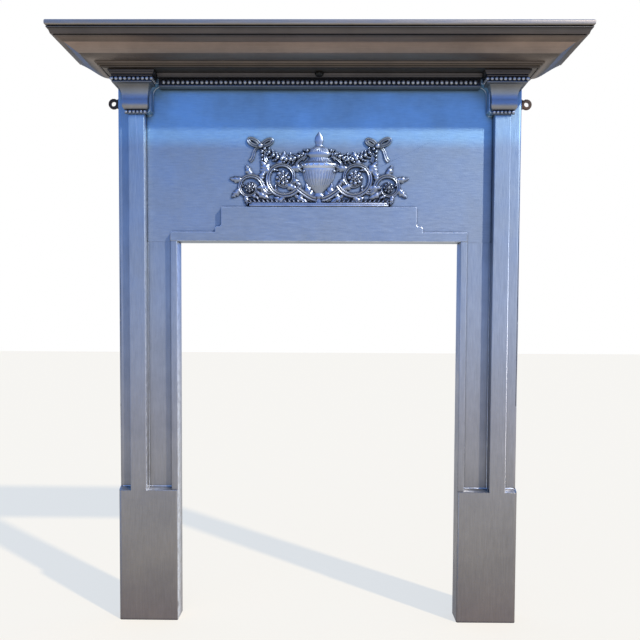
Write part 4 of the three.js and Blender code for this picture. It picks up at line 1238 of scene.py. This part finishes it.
def lay_floor(context):
    """A wide matt floor at the foot of the surround."""
    bm = bmesh.new()
    bmesh.ops.create_grid(bm, x_segments=1, y_segments=1, size=FLOOR_REACH)
    mesh = mesh_of(bm, "studio_floor")
    material, tree = empty_material("pale_floor")
    matt = add(tree, "ShaderNodeBsdfDiffuse", {"Color": tone(FLOOR_COLOUR)})
    glow = add(tree, "ShaderNodeEmission", {"Color": tone("#ffffff"), "Strength": FLOOR_GLOW})
    both = add(tree, "ShaderNodeAddShader", {0: glow.outputs[0], 1: matt.outputs[0]})
    add(tree, "ShaderNodeOutputMaterial", {"Surface": both.outputs[0]})
    mesh.materials.append(material)
    floor = bpy.data.objects.new("studio_floor", mesh)
    context.scene.collection.objects.link(floor)


# The camera stands in front of the opening, a little to the right, and looks slightly down.
# Distances are in millimetres, angles in radians, and the shift in parts of the picture's width.
SENSOR_WIDTH = 36.0
CAMERA_X = 21.2
CAMERA_DISTANCE = 1587.3
CAMERA_HEIGHT = 657.9
CAMERA_PITCH = 0.0449
CAMERA_TURN = 0.0107
CAMERA_ROLL = 0.0048
CAMERA_SHIFT = 0.0541


def set_camera(context, settings):
    """The camera of the photograph."""
    data = bpy.data.cameras.new("camera")
    data.sensor_width = SENSOR_WIDTH
    data.lens = settings.lens
    data.shift_y = CAMERA_SHIFT
    data.clip_start = 0.05
    data.clip_end = 100.0
    camera = bpy.data.objects.new("camera", data)
    turn = Matrix.Rotation(CAMERA_TURN, 4, "Z")
    pitch = Matrix.Rotation(math.pi / 2 - CAMERA_PITCH, 4, "X")
    roll = Matrix.Rotation(CAMERA_ROLL, 4, "Z")
    stand = Matrix.Translation(place(CAMERA_X, -CAMERA_DISTANCE, CAMERA_HEIGHT))
    camera.matrix_world = stand @ turn @ pitch @ roll
    context.scene.collection.objects.link(camera)
    context.scene.camera = camera


KEY_SPREAD = 2.0
KEY_COLOUR = (1.0, 0.95, 0.86)
KEY_TOWARDS = Vector((-1.0, 1.0, -1.0))
# The sky from below the horizon to high up, as linear light: warm and grey below, blue above.
SKY_SPAN = (-0.5, 0.7)
SKY = (
    (0.0, (0.45, 0.43, 0.42, 1)),
    (0.40, (0.36, 0.45, 0.72, 1)),
    (0.62, (0.27, 0.62, 1.6, 1)),
    (1.0, (0.3, 0.62, 1.5, 1)),
)


def set_lights(context, settings):
    """The low sun from the upper right and the sky; the camera itself sees white behind."""
    scene = context.scene
    scene.view_settings.view_transform = "Standard"
    key = bpy.data.lights.new("key", "SUN")
    key.energy = settings.key_strength
    key.angle = math.radians(KEY_SPREAD)
    key.color = KEY_COLOUR
    lamp = bpy.data.objects.new("key", key)
    lamp.rotation_euler = KEY_TOWARDS.to_track_quat("-Z", "Y").to_euler()
    scene.collection.objects.link(lamp)

    world = bpy.data.worlds.new("studio")
    world.use_nodes = True
    tree = world.node_tree
    tree.nodes.clear()
    where = add(tree, "ShaderNodeTexCoord")
    up = add(tree, "ShaderNodeSeparateXYZ", {"Vector": where.outputs["Generated"]})
    sky_colour = ramped(tree, ranged(tree, up.outputs["Z"], *SKY_SPAN), SKY)
    sky = add(tree, "ShaderNodeBackground", {"Color": sky_colour, "Strength": 1.0})
    pale = add(tree, "ShaderNodeBackground", {"Color": (1, 1, 1, 1), "Strength": 1.0})
    ray = add(tree, "ShaderNodeLightPath")
    mixed = add(
        tree,
        "ShaderNodeMixShader",
        {0: ray.outputs["Is Camera Ray"], 1: sky.outputs[0], 2: pale.outputs[0]},
    )
    add(tree, "ShaderNodeOutputWorld", {"Surface": mixed.outputs[0]})
    scene.world = world


# ---- panel and registration

STEPS = ("plain_castings", "trim", "shelf", "relief", "fasteners", "stage")


class FIREPLACE_PT_steps(bpy.types.Panel):
    """Lists the steps that finish the surround"""

    bl_idname = "FIREPLACE_PT_steps"
    bl_label = "Fireplace Surround"
    bl_space_type = "VIEW_3D"
    bl_region_type = "UI"
    bl_category = "Fireplace"

    def draw(self, context):
        scene = context.scene
        for step in STEPS:
            self.layout.operator(f"fireplace.{step}")
        for settings in (scene.fireplace_castings, scene.fireplace_stage):
            box = self.layout.box()
            for key in settings.bl_rna.properties.keys():
                if key not in ("rna_type", "name"):
                    box.prop(settings, key)


CLASSES = (
    CastingSettings,
    StageSettings,
    FIREPLACE_OT_plain_castings,
    FIREPLACE_OT_trim,
    FIREPLACE_OT_shelf,
    FIREPLACE_OT_relief,
    FIREPLACE_OT_fasteners,
    FIREPLACE_OT_stage,
    FIREPLACE_PT_steps,
)


def register():
    for cls in CLASSES:
        bpy.utils.register_class(cls)
    bpy.types.Scene.fireplace_castings = bpy.props.PointerProperty(type=CastingSettings)
    bpy.types.Scene.fireplace_stage = bpy.props.PointerProperty(type=StageSettings)


def unregister():
    del bpy.types.Scene.fireplace_stage
    del bpy.types.Scene.fireplace_castings
    for cls in reversed(CLASSES):
        bpy.utils.unregister_class(cls)


def main():
    register()
    for step in STEPS:
        getattr(bpy.ops.fireplace, step)()


if __name__ == "__main__":
    main()
